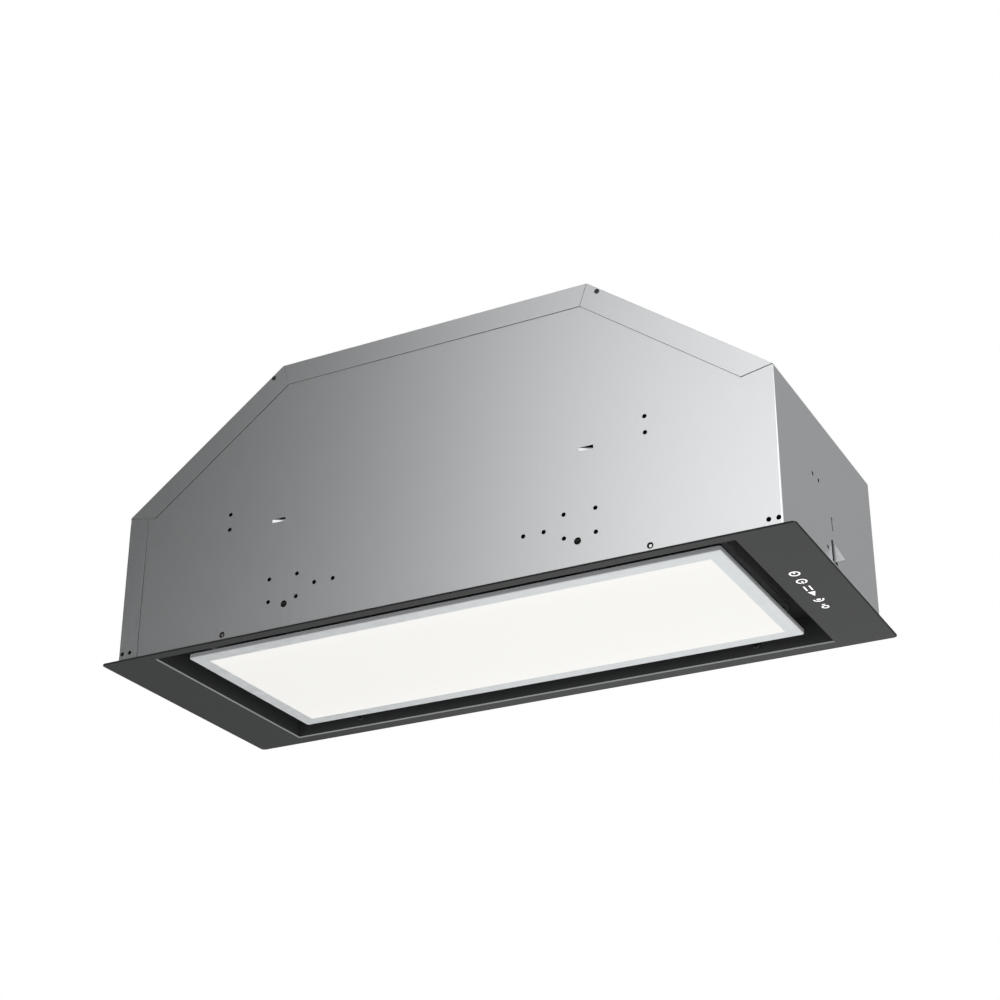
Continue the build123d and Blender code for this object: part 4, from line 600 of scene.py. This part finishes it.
def paint(piece, finish_name):
    """The piece has this one finish and no other."""
    piece.data.materials.clear()
    piece.data.materials.append(finish[finish_name])


for name, node in nodes.items():
    paint(node, turned_grain.get(name, slot_of[name]))
print("nodes painted:", len(nodes))

# %% [markdown]
# ## Working on a mesh as by hand
# The pieces below are shaped with Blender's own tools: extrude, inset, bevel, bisect and
# modifiers. These tools act on whatever is picked, so each step starts with nothing picked, and
# faces or edges are then picked by where they are. Places are given in millimetres, as in the CAD.

# %% Picking faces and edges
FACING = 0.9  # a normal's part along an axis, at least, where a face looks along it
ACROSS = 0.3  # and at most, where it looks across
SLACK = 0.1  # millimetres, for places found by a face's middle


def only(piece):
    """Nothing is selected but this piece."""
    bpy.ops.object.select_all(action="DESELECT")
    bpy.context.view_layer.objects.active = piece
    piece.select_set(True)


def pick_all():
    """Pick the whole mesh."""
    bpy.ops.mesh.select_all(action="SELECT")


def pick_none():
    """Drop what is picked."""
    bpy.ops.mesh.select_all(action="DESELECT")


def edit(piece, kind="FACE"):
    """Edit mode on one piece, with nothing picked."""
    only(piece)
    bpy.ops.object.mode_set(mode="EDIT")
    bpy.ops.mesh.select_mode(type=kind)
    pick_none()


def done():
    """Back to object mode."""
    bpy.ops.object.mode_set(mode="OBJECT")


def pick_faces(piece, test):
    """Pick the faces whose middle, in millimetres, and normal pass a test."""
    mesh = bmesh.from_edit_mesh(piece.data)
    for face in mesh.faces:
        if test(face.calc_center_median() / MM, face.normal):
            face.select_set(True)
    bmesh.update_edit_mesh(piece.data)


def pick_edges(piece, test):
    """Pick the edges both of whose ends, in millimetres, pass a test."""
    mesh = bmesh.from_edit_mesh(piece.data)
    for line in mesh.edges:
        if all(test(end.co / MM) for end in line.verts):
            line.select_set(True)
    bmesh.update_edit_mesh(piece.data)


def near(value, target, slack=0.05):
    """Two lengths in millimetres are the same."""
    return abs(value - target) < slack


def round_picked(radius, segments):
    """Round the picked edges by a radius in millimetres."""
    bpy.ops.mesh.bevel(offset=radius * MM, segments=segments, affect="EDGES", clamp_overlap=False)


# %% Finishing a piece
def join(pieces):
    """One piece made of several."""
    only(pieces[0])
    for piece in pieces:
        piece.select_set(True)
    bpy.ops.object.join()
    return bpy.context.object


def apply_modifiers(piece):
    """Every modifier becomes part of the mesh."""
    only(piece)
    for modifier in list(piece.modifiers):
        bpy.ops.object.modifier_apply(modifier=modifier.name)


def soften(piece, radius, segments=2, angle=40):
    """Round every sharp edge by a radius in millimetres."""
    bevel = piece.modifiers.new("soft edges", "BEVEL")
    bevel.width = radius * MM
    bevel.segments = segments
    bevel.limit_method = "ANGLE"
    bevel.angle_limit = radians(angle)
    bevel.use_clamp_overlap = False
    apply_modifiers(piece)


def settle(piece, body, slot, *stands_for, finish_name=None, smooth=35):
    """A finished piece gets its finish, rides on its body, and stands for CAD nodes."""
    only(piece)
    bpy.ops.object.transform_apply(location=True, rotation=True, scale=True)
    bpy.ops.object.shade_smooth_by_angle(angle=radians(smooth))
    flat = piece.modifiers.new("large faces stay flat", "WEIGHTED_NORMAL")
    flat.keep_sharp = True
    apply_modifiers(piece)
    paint(piece, finish_name or slot)
    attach(piece, body)
    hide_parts(*stands_for)
    return piece


# %% A copy of a CAD node, ready to be worked on
MERGE = 0.01  # millimetres between corners that are one
FLAT = 0.5  # degrees between triangles of one face
bodies = frame["record"]["behaviour"]["bodies"]
body_of = {node: body for body, names in bodies.items() for node in names}


def take_copy(node, name):
    """A piece with a node's shape: its loose triangles are merged into whole faces."""
    piece = bpy.data.objects.new(name, nodes[node].data.copy())
    scene.collection.objects.link(piece)
    only(piece)
    bpy.ops.object.mode_set(mode="EDIT")
    bpy.ops.mesh.customdata_custom_splitnormals_clear()
    pick_all()
    bpy.ops.mesh.remove_doubles(threshold=MERGE * MM)
    bpy.ops.mesh.dissolve_limited(angle_limit=radians(FLAT))
    done()
    return piece


def settle_copy(piece, node, finish_name=None, smooth=35):
    """A worked copy takes its node's place, body and finish."""
    return settle(piece, body_of[node], slot_of[node], node, finish_name=finish_name, smooth=smooth)


def touch_up(piece, finish_name, test):
    """Give one more finish to the faces that pass a test."""
    piece.data.materials.append(finish[finish_name])
    index = len(piece.data.materials) - 1
    touched = [face for face in piece.data.polygons if test(face.center / MM, face.normal)]
    for face in touched:
        face.material_index = index
    print(finish_name, "on", len(touched), "faces of", piece.name)

# %% [markdown]
# ## Folded sheets
# The casing is folded from thin sheet on a press brake, so each fold is a narrow round that
# catches the light as a bright line. The CAD has sharp folds. They could be rounded by one Bevel
# modifier, but a fold is rounder than a cut edge, so the folds are picked and rounded first, and
# the modifier then breaks every other edge a little.

# %% The two shells of the casing
FOLD = 1.7  # radius of the folds
FOLD_STEPS = 4
CUT_EDGE = 0.06  # how much a cut edge is broken
WALL_X, WALL_Y, SHEET = 337.0, 130.5, 0.8


def on_fold(p, normal):
    """This face belongs to the round of an upright fold."""
    corner = abs(p.x) > WALL_X - FOLD and abs(p.y) > WALL_Y - FOLD
    slanting = 0.15 < abs(normal.x) < 0.97
    return corner and slanting and abs(normal.z) < ACROSS


def on_cut(p, normal):
    """This face lies across the sheet, where a laser cut it."""
    if abs(p.y) > WALL_Y - SHEET - SLACK and abs(p.x) < WALL_X - FOLD:
        return abs(normal.y) < ACROSS
    in_side_wall = WALL_X - SHEET - SLACK < abs(p.x) < WALL_X + SLACK
    return in_side_wall and abs(normal.x) < ACROSS and abs(p.y) < WALL_Y - FOLD


def shell(node, side):
    """A shell with its two upright folds rolled; side is 1 for the front one."""
    piece = take_copy(node, "folded_" + node)
    edit(piece, "EDGE")
    for fold_y in (-side * WALL_Y, side * (WALL_Y + SHEET)):
        pick_none()
        pick_edges(piece, lambda p: near(p.x, side * WALL_X) and near(p.y, fold_y))
        round_picked(FOLD, FOLD_STEPS)
    done()
    soften(piece, CUT_EDGE, segments=1)
    settle_copy(piece, node)
    # Cut edges get the near-black finish: the laser's oxide, and painted shade in the slits.
    touch_up(piece, "black_edge_and_shade", on_cut)
    # The folds get the paler steel: a painted highlight.
    touch_up(piece, "fold_highlight", on_fold)
    print(piece.name, len(piece.data.polygons), "faces")


shell("front_shell", 1)
shell("rear_shell", -1)

# %% The roof with its laps
roof = take_copy("roof_sheet", "folded_roof")
roof_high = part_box("roof_sheet")[1]
lap_y = roof_high.y / MM
crest = roof_high.z / MM
ROOF_FOLD_X, ROOF_SLOPE = 164.7, 0.753
ROOF_FOLD, ROOF_RIM = 0.5, 0.3


def on_roof_edge(p):
    """This corner lies on the rim between the roof and its lap."""
    height = crest - ROOF_SLOPE * max(0, abs(p.x) - ROOF_FOLD_X)
    return near(abs(p.y), lap_y) and p.z > height - ROOF_RIM


def on_lap_cut(p, normal):
    """This face is the lower or side edge of a lap."""
    return abs(p.y) > lap_y - SHEET and abs(normal.y) < ACROSS and normal.z < ACROSS


edit(roof, "EDGE")
pick_edges(roof, on_roof_edge)
round_picked(ROOF_FOLD, segments=3)
done()
soften(roof, CUT_EDGE, segments=1)
settle_copy(roof, "roof_sheet", finish_name="roof_steel")
# The laps' lower and side edges get the near-black finish: oxide, and a painted shade line under each
# lap.
touch_up(roof, "black_edge_and_shade", on_lap_cut)

# %% The trim plate
PLATE_X, PLATE_Y, PLATE_SHEET = 350.0, 140.0, 1.5
OPENING_X, OPENING_FRONT, OPENING_REAR = 293.4, -128.2, 123.5
DARK_EDGE_BAND = 0.9  # the band along the plate's outer edge that gets the darker coat
BEND_REACH, BEND_TOP = 3.0, 1.0  # the lip's bend, from the opening's edge and up
BEND_PAST = 1.0  # how far the rear bend goes past the opening's corners
TRIM_EDGE = 0.3
trim = take_copy("trim_frame", "pressed_trim_plate")
edit(trim)
for way, reach in (((1, 0, 0), PLATE_X), ((0, 1, 0), PLATE_Y)):
    for side in (-1, 1):
        pick_all()
        cut = Vector(way) * (side * (reach - DARK_EDGE_BAND) * MM)
        bpy.ops.mesh.bisect(plane_co=cut, plane_no=way)
done()
soften(trim, TRIM_EDGE)
settle_copy(trim, "trim_frame")


def on_plate_edge(p, normal):
    """This face is on the plate's outer edge or the narrow band next to it."""
    bead = abs(p.y) > PLATE_Y - DARK_EDGE_BAND or abs(p.x) > PLATE_X - DARK_EDGE_BAND
    return p.z < PLATE_SHEET + SLACK and bead


def on_lip_bend(p, normal):
    """This face is on the bend at the opening's left end or rear."""
    left = abs(p.x + OPENING_X) < BEND_REACH and OPENING_FRONT < p.y < OPENING_REAR + BEND_REACH
    rear = abs(p.y - OPENING_REAR) < BEND_REACH and abs(p.x) < OPENING_X + BEND_PAST
    slanting = -0.98 < normal.z < -0.1
    return (left or rear) and p.z < BEND_TOP and slanting


def on_lip_back(p, normal):
    """This face is the front lip's outer side, seen through the wall's holes."""
    return near(p.y, OPENING_FRONT - PLATE_SHEET, SLACK) and normal.y < -FACING


# The plate's outer edge and the band next to it get the darker coat.
touch_up(trim, "darker_edge_and_recess_shade", on_plate_edge)
# The bends at the opening get the paler coat: a painted highlight.
touch_up(trim, "bend_highlight", on_lip_bend)
# The lip's outer side behind the wall's holes gets the near-black finish as painted shade.
touch_up(trim, "black_edge_and_shade", on_lip_back)
# The opening's right wall, which the opal plate's glow lights, gets the darker coat as painted shade.
touch_up(trim, "darker_edge_and_recess_shade", lambda p, normal: near(p.x, OPENING_X) and normal.x < -FACING)
print("trim plate:", len(trim.data.polygons), "faces")

# %% The light panel's rim
rim = take_copy("panel_frame", "panel_rim")
rim_low, rim_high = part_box("panel_frame")
# RIM_SHADE_BAND is the top millimetre of the rim's side, which is painted black as painted shade.
RIM_BEVEL, RIM_SHADE_BAND, RIM_EDGE = 0.6, 1.0, 0.08
RIM_SKIN = 1.0  # what lies nearer to the rim's outline is its outer side
shade_band_foot = rim_high.z / MM - RIM_SHADE_BAND
edit(rim)
pick_all()
bpy.ops.mesh.bisect(plane_co=(0, 0, shade_band_foot * MM), plane_no=(0, 0, 1))
done()
soften(rim, RIM_EDGE, segments=1)
settle_copy(rim, "panel_frame")


def off_rim(p):
    """How far a point is inside the rim's outline."""
    x_gap = rim_high.x / MM - abs(p.x)
    y_gap = min(rim_high.y / MM - p.y, p.y - rim_low.y / MM)
    return min(x_gap, y_gap)


def on_rim_bevel(p, normal):
    """This face is on the bevel round the rim's underside."""
    return off_rim(p) < RIM_BEVEL + SLACK and -0.97 < normal.z < -ACROSS


# The rim's side gets the lighter colour: painted light where the plate's lip shades it.
touch_up(rim, "rim_side_painted_light", lambda p, normal: off_rim(p) < RIM_SKIN and abs(normal.z) < ACROSS)
# The bevel gets the near-white colour as a painted highlight.
touch_up(rim, "rim_bevel_highlight", on_rim_bevel)
# The top band of the rim's side gets black as painted shade, where the opening's edge shades it.
touch_up(rim, "black_steel", lambda p, normal: off_rim(p) < RIM_SKIN and p.z > shade_band_foot)
print("rim:", len(rim.data.polygons), "faces")

# %% [markdown]
# ## Expanded metal in the grease filters
# The pads are layers of aluminium sheet that was slit and pulled open into diamonds. A grid whose
# cells are poked and whose grid lines are then dissolved is the same lattice: only the diagonals
# stay. A Wireframe modifier turns each line into a strand. An image or a bump pattern would look
# flat, because through these layers one sees the dark behind. The sheets stop at the solid part
# of the rim, where the latch and its spring need their room.

# %% One layer and one pad
MESH_CELL_X, MESH_CELL_Y = 7.6, 4.1
MESH_LAYERS = 3
LAYER_SHIFT = 0.4  # of a cell, every other layer
STRAND = 0.55
STRAIGHT = 0.01  # millimetres that a line along the grid may stray
LAND_HALF = 24.5  # half the width that the rim's solid part takes round the latch
LAND_WALL = 1.5  # its wall behind the latch's spring


def drop_grid(layer):
    """Only the diagonals of a poked grid stay, with the grid's outline."""
    mesh = bmesh.from_edit_mesh(layer.data)
    for line in mesh.edges:
        run = line.verts[0].co - line.verts[1].co
        straight = min(abs(run.x), abs(run.y)) < STRAIGHT * MM
        line.select_set(straight and not line.is_boundary)
    mesh.select_flush_mode()
    bmesh.update_edit_mesh(layer.data)
    bpy.ops.mesh.dissolve_edges(use_verts=False)


def shift_lattice(layer, shift):
    """Move all but the outline, by a share of a cell."""
    pick_none()
    inner = [vert for vert in bmesh.from_edit_mesh(layer.data).verts if not vert.is_boundary]
    bpy.ops.mesh.select_mode(type="VERT")
    for vert in inner:
        vert.select_set(True)
    step = (shift * MESH_CELL_X * MM, shift * MESH_CELL_Y * MM, 0)
    bpy.ops.transform.translate(value=step)


def pick_land(layer, middle, land_end):
    """Pick the diamonds that reach into the solid part that holds the latch."""
    bpy.ops.mesh.select_mode(type="FACE")
    pick_none()
    mesh = bmesh.from_edit_mesh(layer.data)
    for face in mesh.faces:
        for vert in face.verts:
            if abs(vert.co.x) < LAND_HALF * MM and vert.co.y + middle.y < land_end:
                face.select_set(True)
    bmesh.update_edit_mesh(layer.data)


def mesh_layer(low, high, height, shift, land_end):
    """A sheet of diamonds between two corners, at a height; it is open in front of land_end."""
    across = int((high.x - low.x) / MM / MESH_CELL_X)
    along = int((high.y - low.y) / MM / MESH_CELL_Y)
    middle = (low + high) / 2
    bpy.ops.mesh.primitive_grid_add(x_subdivisions=across + 1, y_subdivisions=along + 1, size=1)
    layer = bpy.context.object
    margin = 2 * STRAND * MM
    layer.dimensions = (high.x - low.x - margin, high.y - low.y - margin, 0)
    bpy.ops.object.transform_apply(scale=True)
    edit(layer, "EDGE")
    pick_all()
    bpy.ops.mesh.poke()
    drop_grid(layer)
    shift_lattice(layer, shift)
    pick_land(layer, middle, land_end)
    bpy.ops.mesh.delete(type="FACE")
    done()
    wires = layer.modifiers.new("strands", "WIREFRAME")
    wires.thickness = STRAND * MM
    wires.use_even_offset = False
    apply_modifiers(layer)
    layer.location = (middle.x, middle.y, height)
    return layer


def filter_pad(side):
    """The layers of one filter's pad, joined into one piece."""
    node = "filter_mesh_" + side
    low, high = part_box(node)
    land_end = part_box("latch_spring_" + side)[1].y + LAND_WALL * MM
    layers = []
    for index in range(MESH_LAYERS):
        share = index / (MESH_LAYERS - 1)
        height = low.z + STRAND * MM + share * (high.z - low.z - 2 * STRAND * MM)
        layers.append(mesh_layer(low, high, height, (index % 2) * LAYER_SHIFT, land_end))
    pad = join(layers)
    pad.name = "expanded_metal_" + side
    return settle(pad, body_of[node], slot_of[node], node)


for side in ("left", "right"):
    pad = filter_pad(side)
    print(pad.name, "has", len(pad.data.polygons), "faces")

# %% [markdown]
# ## Latch springs
# Each filter latch is pushed out by a small coil of wire. Its circle is drawn beside the axis and
# a Screw modifier winds it up, one turn at a time. The coil is shortest when the latch is pulled
# in.

# %% Wind the two springs
SPRING_TURNS = 7
TURN_STEPS = 20
WIRE, WIRE_SIDES = 0.5, 8


def coil(name, low, high):
    """A spring that fills a box, wound about the box's longest way, along Y."""
    radius = (high.x - low.x) / 2 - WIRE * MM / 2
    length = high.y - low.y - WIRE * MM
    bpy.ops.mesh.primitive_circle_add(vertices=WIRE_SIDES, radius=WIRE * MM / 2)
    spring = bpy.context.object
    spring.name = name
    edit(spring, "VERT")
    pick_all()
    bpy.ops.transform.rotate(value=radians(90), orient_axis="X", center_override=(0, 0, 0))
    bpy.ops.transform.translate(value=(radius, 0, 0))
    done()
    winding = spring.modifiers.new("winding", "SCREW")
    winding.axis = "Z"
    winding.steps = TURN_STEPS
    winding.render_steps = TURN_STEPS
    winding.iterations = SPRING_TURNS
    winding.screw_offset = length / SPRING_TURNS
    winding.use_normal_calculate = True
    apply_modifiers(spring)
    edit(spring, "VERT")
    pick_all()
    bpy.ops.mesh.remove_doubles(threshold=MERGE / 10 * MM)
    bpy.ops.mesh.normals_make_consistent(inside=False)
    done()
    spring.rotation_euler = (radians(-90), 0, 0)
    spring.location = ((low.x + high.x) / 2, low.y + WIRE * MM / 2, (low.z + high.z) / 2)
    return spring


for side in ("left", "right"):
    node = "latch_spring_" + side
    low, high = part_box(node)
    spring = coil("coil_spring_" + side, low, high)
    settle(spring, body_of[node], slot_of[node], node)
    # The rear end stays. The latch pulls the other 5 mm in, so 4 of the spring's 9 mm are left.
    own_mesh(spring)
    print(spring.name, "turns", SPRING_TURNS, "faces", len(spring.data.polygons))

# %% [markdown]
# ## Screws and rivets
# Small fasteners say a lot about how a thing is made. Each screw is a cylinder whose head is
# widened by an extrusion, domed by a bevel and cut with a cross by a Boolean. It is modelled once,
# upright at the origin, then copied to every place where the CAD has a screw of that node.

# %% One screw
SHORT_SHANK = 1.0  # the shank is drawn out to its length where it is used
ROUND_SIDES = 20
DOME = 0.55  # share of the head's height that is round
TIP = 0.3  # share of the shank's radius that is chamfered
SLOT_LENGTH, SLOT_WIDTH = 1.15, 0.26  # of the cross, as shares of the head's radius
SLOT_DEPTH, SLOT_FOOT = 0.6, 0.6  # share of the head's height, and how much it narrows
OVERSHOOT = 0.1  # how far a cutter stands out over what it cuts


def looks_up(middle, normal):
    """This face looks up."""
    return normal.z > FACING


def looks_down(middle, normal):
    """This face looks down."""
    return normal.z < -FACING


def pin(radius, foot, height):
    """An upright cylinder on the axis, from its foot up, in millimetres."""
    bpy.ops.mesh.primitive_cylinder_add(
        vertices=ROUND_SIDES,
        radius=radius * MM,
        depth=height * MM,
        location=(0, 0, (foot + height / 2) * MM),
    )
    bpy.ops.object.transform_apply(location=True)
    return bpy.context.object


def cut_bar(model, length_x, length_y, top, depth):
    """Cut one bar of a cross recess into a screw's head; the bar narrows downwards."""
    middle = (0, 0, (top - depth / 2 + OVERSHOOT / 2) * MM)
    bpy.ops.mesh.primitive_cube_add(size=MM, location=middle)
    bar = bpy.context.object
    bar.scale = (length_x, length_y, depth + OVERSHOOT)
    bpy.ops.object.transform_apply(location=True, scale=True)
    edit(bar)
    pick_faces(bar, looks_down)
    bpy.ops.transform.resize(value=(SLOT_FOOT, SLOT_FOOT, 1))
    done()
    cut = model.modifiers.new("recess", "BOOLEAN")
    cut.object = bar
    cut.solver = "EXACT"
    apply_modifiers(model)
    bpy.data.objects.remove(bar)


def screw_model(head_r, head, shank_r):
    """A pan-head screw with a cross recess: its seat is at the origin, its short shank below."""
    model = pin(shank_r, -SHORT_SHANK, SHORT_SHANK)
    edit(model)
    pick_faces(model, looks_up)
    bpy.ops.mesh.extrude_region_move()
    wider = head_r / shank_r
    bpy.ops.transform.resize(value=(wider, wider, 1))
    bpy.ops.mesh.extrude_region_move(TRANSFORM_OT_translate={"value": (0, 0, head * MM)})
    pick_none()
    bpy.ops.mesh.select_mode(type="EDGE")
    pick_edges(model, lambda p: near(p.z, head))
    round_picked(DOME * head, segments=3)
    pick_none()
    pick_edges(model, lambda p: near(p.z, -SHORT_SHANK))
    round_picked(TIP * shank_r, segments=1)
    done()
    for share_x, share_y in ((SLOT_LENGTH, SLOT_WIDTH), (SLOT_WIDTH, SLOT_LENGTH)):
        cut_bar(model, share_x * head_r, share_y * head_r, head, SLOT_DEPTH * head)
    return model


# %% One rivet
PIN_SHOULDER = 0.62  # share of the head's radius from its rim to the pin's hole
PIN_DEPTH = 0.8  # the hole's depth, as a share of the head's height
RIVET_DOME = 0.5  # share of the head's height that is round
RIVET_RIM = 0.98  # share of its radius beyond which an edge is its rim


def rivet_model(head_r, head, shank_r):
    """A blind rivet: a low dome round the hole that its pulled pin left."""
    model = pin(head_r, 0, head)
    edit(model)
    pick_faces(model, looks_up)
    bpy.ops.mesh.inset(thickness=PIN_SHOULDER * head_r * MM)
    hole = (0, 0, -PIN_DEPTH * head * MM)
    bpy.ops.mesh.extrude_region_move(TRANSFORM_OT_translate={"value": hole})
    pick_none()
    pick_faces(model, looks_down)
    bpy.ops.mesh.inset(thickness=(head_r - shank_r) * MM)
    bpy.ops.mesh.extrude_region_move(TRANSFORM_OT_translate={"value": (0, 0, -SHORT_SHANK * MM)})
    pick_none()
    bpy.ops.mesh.select_mode(type="EDGE")
    pick_edges(model, lambda p: near(p.z, head) and hypot(p.x, p.y) > head_r * RIVET_RIM)
    round_picked(RIVET_DOME * head, segments=3)
    done()
    return model


# %% Put a fastener at each of its places
def loose_boxes(node):
    """The box of each separate solid of a CAD node, as (low, high) corners in metres."""
    mesh = bmesh.new()
    mesh.from_mesh(nodes[node].data)
    mesh.transform(nodes[node].matrix_world)
    bmesh.ops.remove_doubles(mesh, verts=mesh.verts, dist=MERGE * MM)
    left = set(mesh.verts)
    boxes = []
    while left:
        group = [left.pop()]
        for vert in group:
            for line in vert.link_edges:
                other = line.other_vert(vert)
                if other in left:
                    left.remove(other)
                    group.append(other)
        corners = [[pick(vert.co[axis] for vert in group) for axis in range(3)] for pick in (min, max)]
        boxes.append((Vector(corners[0]), Vector(corners[1])))
    mesh.free()
    return boxes


FORWARDS, BACKWARDS, UPWARDS = Vector((0, -1, 0)), Vector((0, 1, 0)), Vector((0, 0, 1))
BARE_TIP, TIP_FACING = 2.0, 0.5  # a lip screw's bare end: its length, and how its faces look


def fasten(node, name, make, head_r, head, shank_r, outward, mirrored=False):
    """Copies of a fastener at every solid of a node; mirrored ones look the other way in front."""
    model = make(head_r, head, shank_r)
    copies = []
    for low, high in loose_boxes(node):
        middle = (low + high) / 2
        way = Vector((0, -outward.y, 0)) if mirrored and middle.y < 0 else outward
        length = abs(way.dot(high - low))
        copy = bpy.data.objects.new(name, model.data.copy())
        scene.collection.objects.link(copy)
        for vert in copy.data.vertices:
            if vert.co.z < -0.5 * SHORT_SHANK * MM:
                vert.co.z -= length - (head + SHORT_SHANK) * MM
        copy.rotation_euler = way.to_track_quat("Z", "Y").to_euler()
        copy.location = middle + way * (length / 2 - head * MM)
        copies.append(copy)
    bpy.data.objects.remove(model)
    piece = join(copies)
    settle(piece, body_of[node], slot_of[node], node, smooth=40)
    print(name, "at", len(copies), "places,", len(piece.data.polygons), "faces")
    return piece


def on_bare_tip(p, normal):
    """This face is a lip screw's bare end, which shows in the wall's hole."""
    return abs(p.y) > WALL_Y - BARE_TIP and abs(normal.y) > TIP_FACING


lip_screws = fasten("trim_screws", "lip_screws", screw_model, 3.8, 2.2, 2.0, FORWARDS, mirrored=True)
touch_up(lip_screws, "screw_steel", on_bare_tip)
fasten("roof_rivets", "blind_rivets", rivet_model, 2.4, 0.8, 1.6, BACKWARDS, mirrored=True)
fasten("scroll_screws", "clamp_screws", screw_model, 3.0, 1.8, 1.6, FORWARDS)
fasten("bracket_screws", "arm_screws", screw_model, 3.2, 2.4, 1.5, BACKWARDS)
fasten("collar_screws", "base_screws", screw_model, 3.4, 2.2, 1.75, UPWARDS)
fasten("panel_screws", "back_screws", screw_model, 2.0, 0.8, 1.25, UPWARDS)

# %% [markdown]
# ## Duct collar
# The collar is moulded plastic. A duct is pushed over it and taped or clamped, so it has low
# ribs round it that grip and stop the duct, and its edges are slightly round. The ribs are cut
# into the copied wall with Bisect, one ring of edges at a time, and then pushed out.

# %% Collar with its ribs
COLLAR_R, WALL_ROOM = 74.5, 0.5  # its outer radius, and how far a flat face's middle is off it
RIB_HEIGHTS = (8.0, 17.0, 26.0)
RIB, RIB_REACH = 1.2, 0.7
MOULD_EDGE = 0.25
collar = take_copy("duct_collar", "ribbed_collar")
collar_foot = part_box("duct_collar")[0].z / MM


def on_wall(p, normal):
    """This face is on the collar's outer wall."""
    return near(hypot(p.x, p.y), COLLAR_R, WALL_ROOM) and abs(normal.z) < ACROSS


for height in RIB_HEIGHTS:
    level = collar_foot + height
    for offset in (-RIB / 2, RIB / 2):
        edit(collar)
        pick_faces(collar, on_wall)
        cut_at = (0, 0, (level + offset) * MM)
        bpy.ops.mesh.bisect(plane_co=cut_at, plane_no=(0, 0, 1))
        done()
    edit(collar)
    pick_faces(collar, lambda p, normal: on_wall(p, normal) and near(p.z, level, RIB / 2 + SLACK / 2))
    bpy.ops.mesh.extrude_region_shrink_fatten(TRANSFORM_OT_shrink_fatten={"value": RIB_REACH * MM})
    done()
soften(collar, MOULD_EDGE, segments=1)
settle_copy(collar, "duct_collar", smooth=30)
print("collar:", len(collar.data.polygons), "faces")

# %% [markdown]
# ## Rolled and moulded edges
# Small parts come out of a press or a mould, and none has a knife edge. Each of these is a copy
# of its CAD node with its sharp edges rounded. Sheet gets the small round that a tumbling drum
# leaves, and moulded pieces the larger one that a mould needs.

# %% Round the edges of the small parts, by these radii in millimetres
EDGE_ROUND = {
    "filter_frame_left": 0.5,
    "filter_frame_right": 0.5,
    "filter_latch_left": 0.5,
    "filter_latch_right": 0.5,
    "filter_rails": 0.2,
    "filter_shelf": 0.2,
    "hinge_bracket_left": 0.25,
    "hinge_bracket_right": 0.25,
    "hinge_ear_left": 0.25,
    "hinge_ear_right": 0.25,
    "catch_brackets": 0.25,
    "catch_magnets": 0.4,
    "strike_plates": 0.2,
    "corner_brackets": 0.25,
    "touch_housing": 0.5,
    "control_box": 1.0,
    "control_lid": 0.4,
    "led_driver": 1.0,
    "capacitor": 1.5,
    "motor_bracket": 0.3,
    "motor": 0.6,
    "scroll_front": 0.4,
    "scroll_rear": 0.4,
    "flap_left": 0.25,
    "flap_right": 0.25,
    "mains_gland": 0.4,
    "motor_grommets": 0.6,
    "impeller_rings": 0.3,
}
for node_name, radius in EDGE_ROUND.items():
    piece = take_copy(node_name, "rounded_" + node_name)
    soften(piece, radius)
    settle_copy(piece, node_name)
    print(piece.name, radius, "mm,", len(piece.data.polygons), "faces")

# %% [markdown]
# ## Pressed swages
# A wide thin cover drums and bends. The press stiffens the panel's back with long shallow grooves.
# They could be cut with a Boolean, but a groove in sheet is the same skin pushed in, so faces of
# the copy are inset and lowered.

# %% The panel's tray with its grooves
GROOVES = 5
GROOVE_DEPTH, GROOVE_SLOPE, GROOVE_WIDTH = 0.5, 1.5, 16.0
GROOVE_REACH = 0.38  # half a groove's length, as a share of the tray's
TRAY_EDGE = 0.25
tray = take_copy("panel_tray", "pressed_tray")
tray_low, tray_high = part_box("panel_tray")
tray_top = tray_high.z / MM
middle_x = (tray_low.x + tray_high.x) / 2 / MM
pitch = (tray_high.x - tray_low.x) / MM / (GROOVES + 1)
groove_xs = [middle_x + (number - (GROOVES - 1) / 2) * pitch for number in range(GROOVES)]
half_y = GROOVE_REACH * (tray_high.y - tray_low.y) / MM
middle_y = (tray_low.y + tray_high.y) / 2 / MM


def on_top(p, normal):
    """This face is the tray's raised flat top."""
    return normal.z > FACING and near(p.z, tray_top)


def cut_top(place, way):
    """Cut a line across the tray's top."""
    pick_none()
    pick_faces(tray, on_top)
    bpy.ops.mesh.bisect(plane_co=Vector(place) * MM, plane_no=way)


edit(tray)
for x in groove_xs:
    for edge_x in (x - GROOVE_WIDTH / 2, x + GROOVE_WIDTH / 2):
        cut_top((edge_x, 0, tray_top), (1, 0, 0))
for edge_y in (middle_y - half_y, middle_y + half_y):
    cut_top((0, edge_y, tray_top), (0, 1, 0))


def on_groove(p, normal):
    """This face of the top lies where a groove goes."""
    in_width = min(abs(p.x - x) for x in groove_xs) < GROOVE_WIDTH / 2 - SLACK
    return on_top(p, normal) and in_width and abs(p.y - middle_y) < half_y - SLACK


pick_none()
pick_faces(tray, on_groove)
bpy.ops.mesh.inset(thickness=GROOVE_SLOPE * MM, depth=-GROOVE_DEPTH * MM)
done()
soften(tray, TRAY_EDGE)
settle_copy(tray, "panel_tray")
print("tray:", GROOVES, "grooves,", len(tray.data.polygons), "faces")
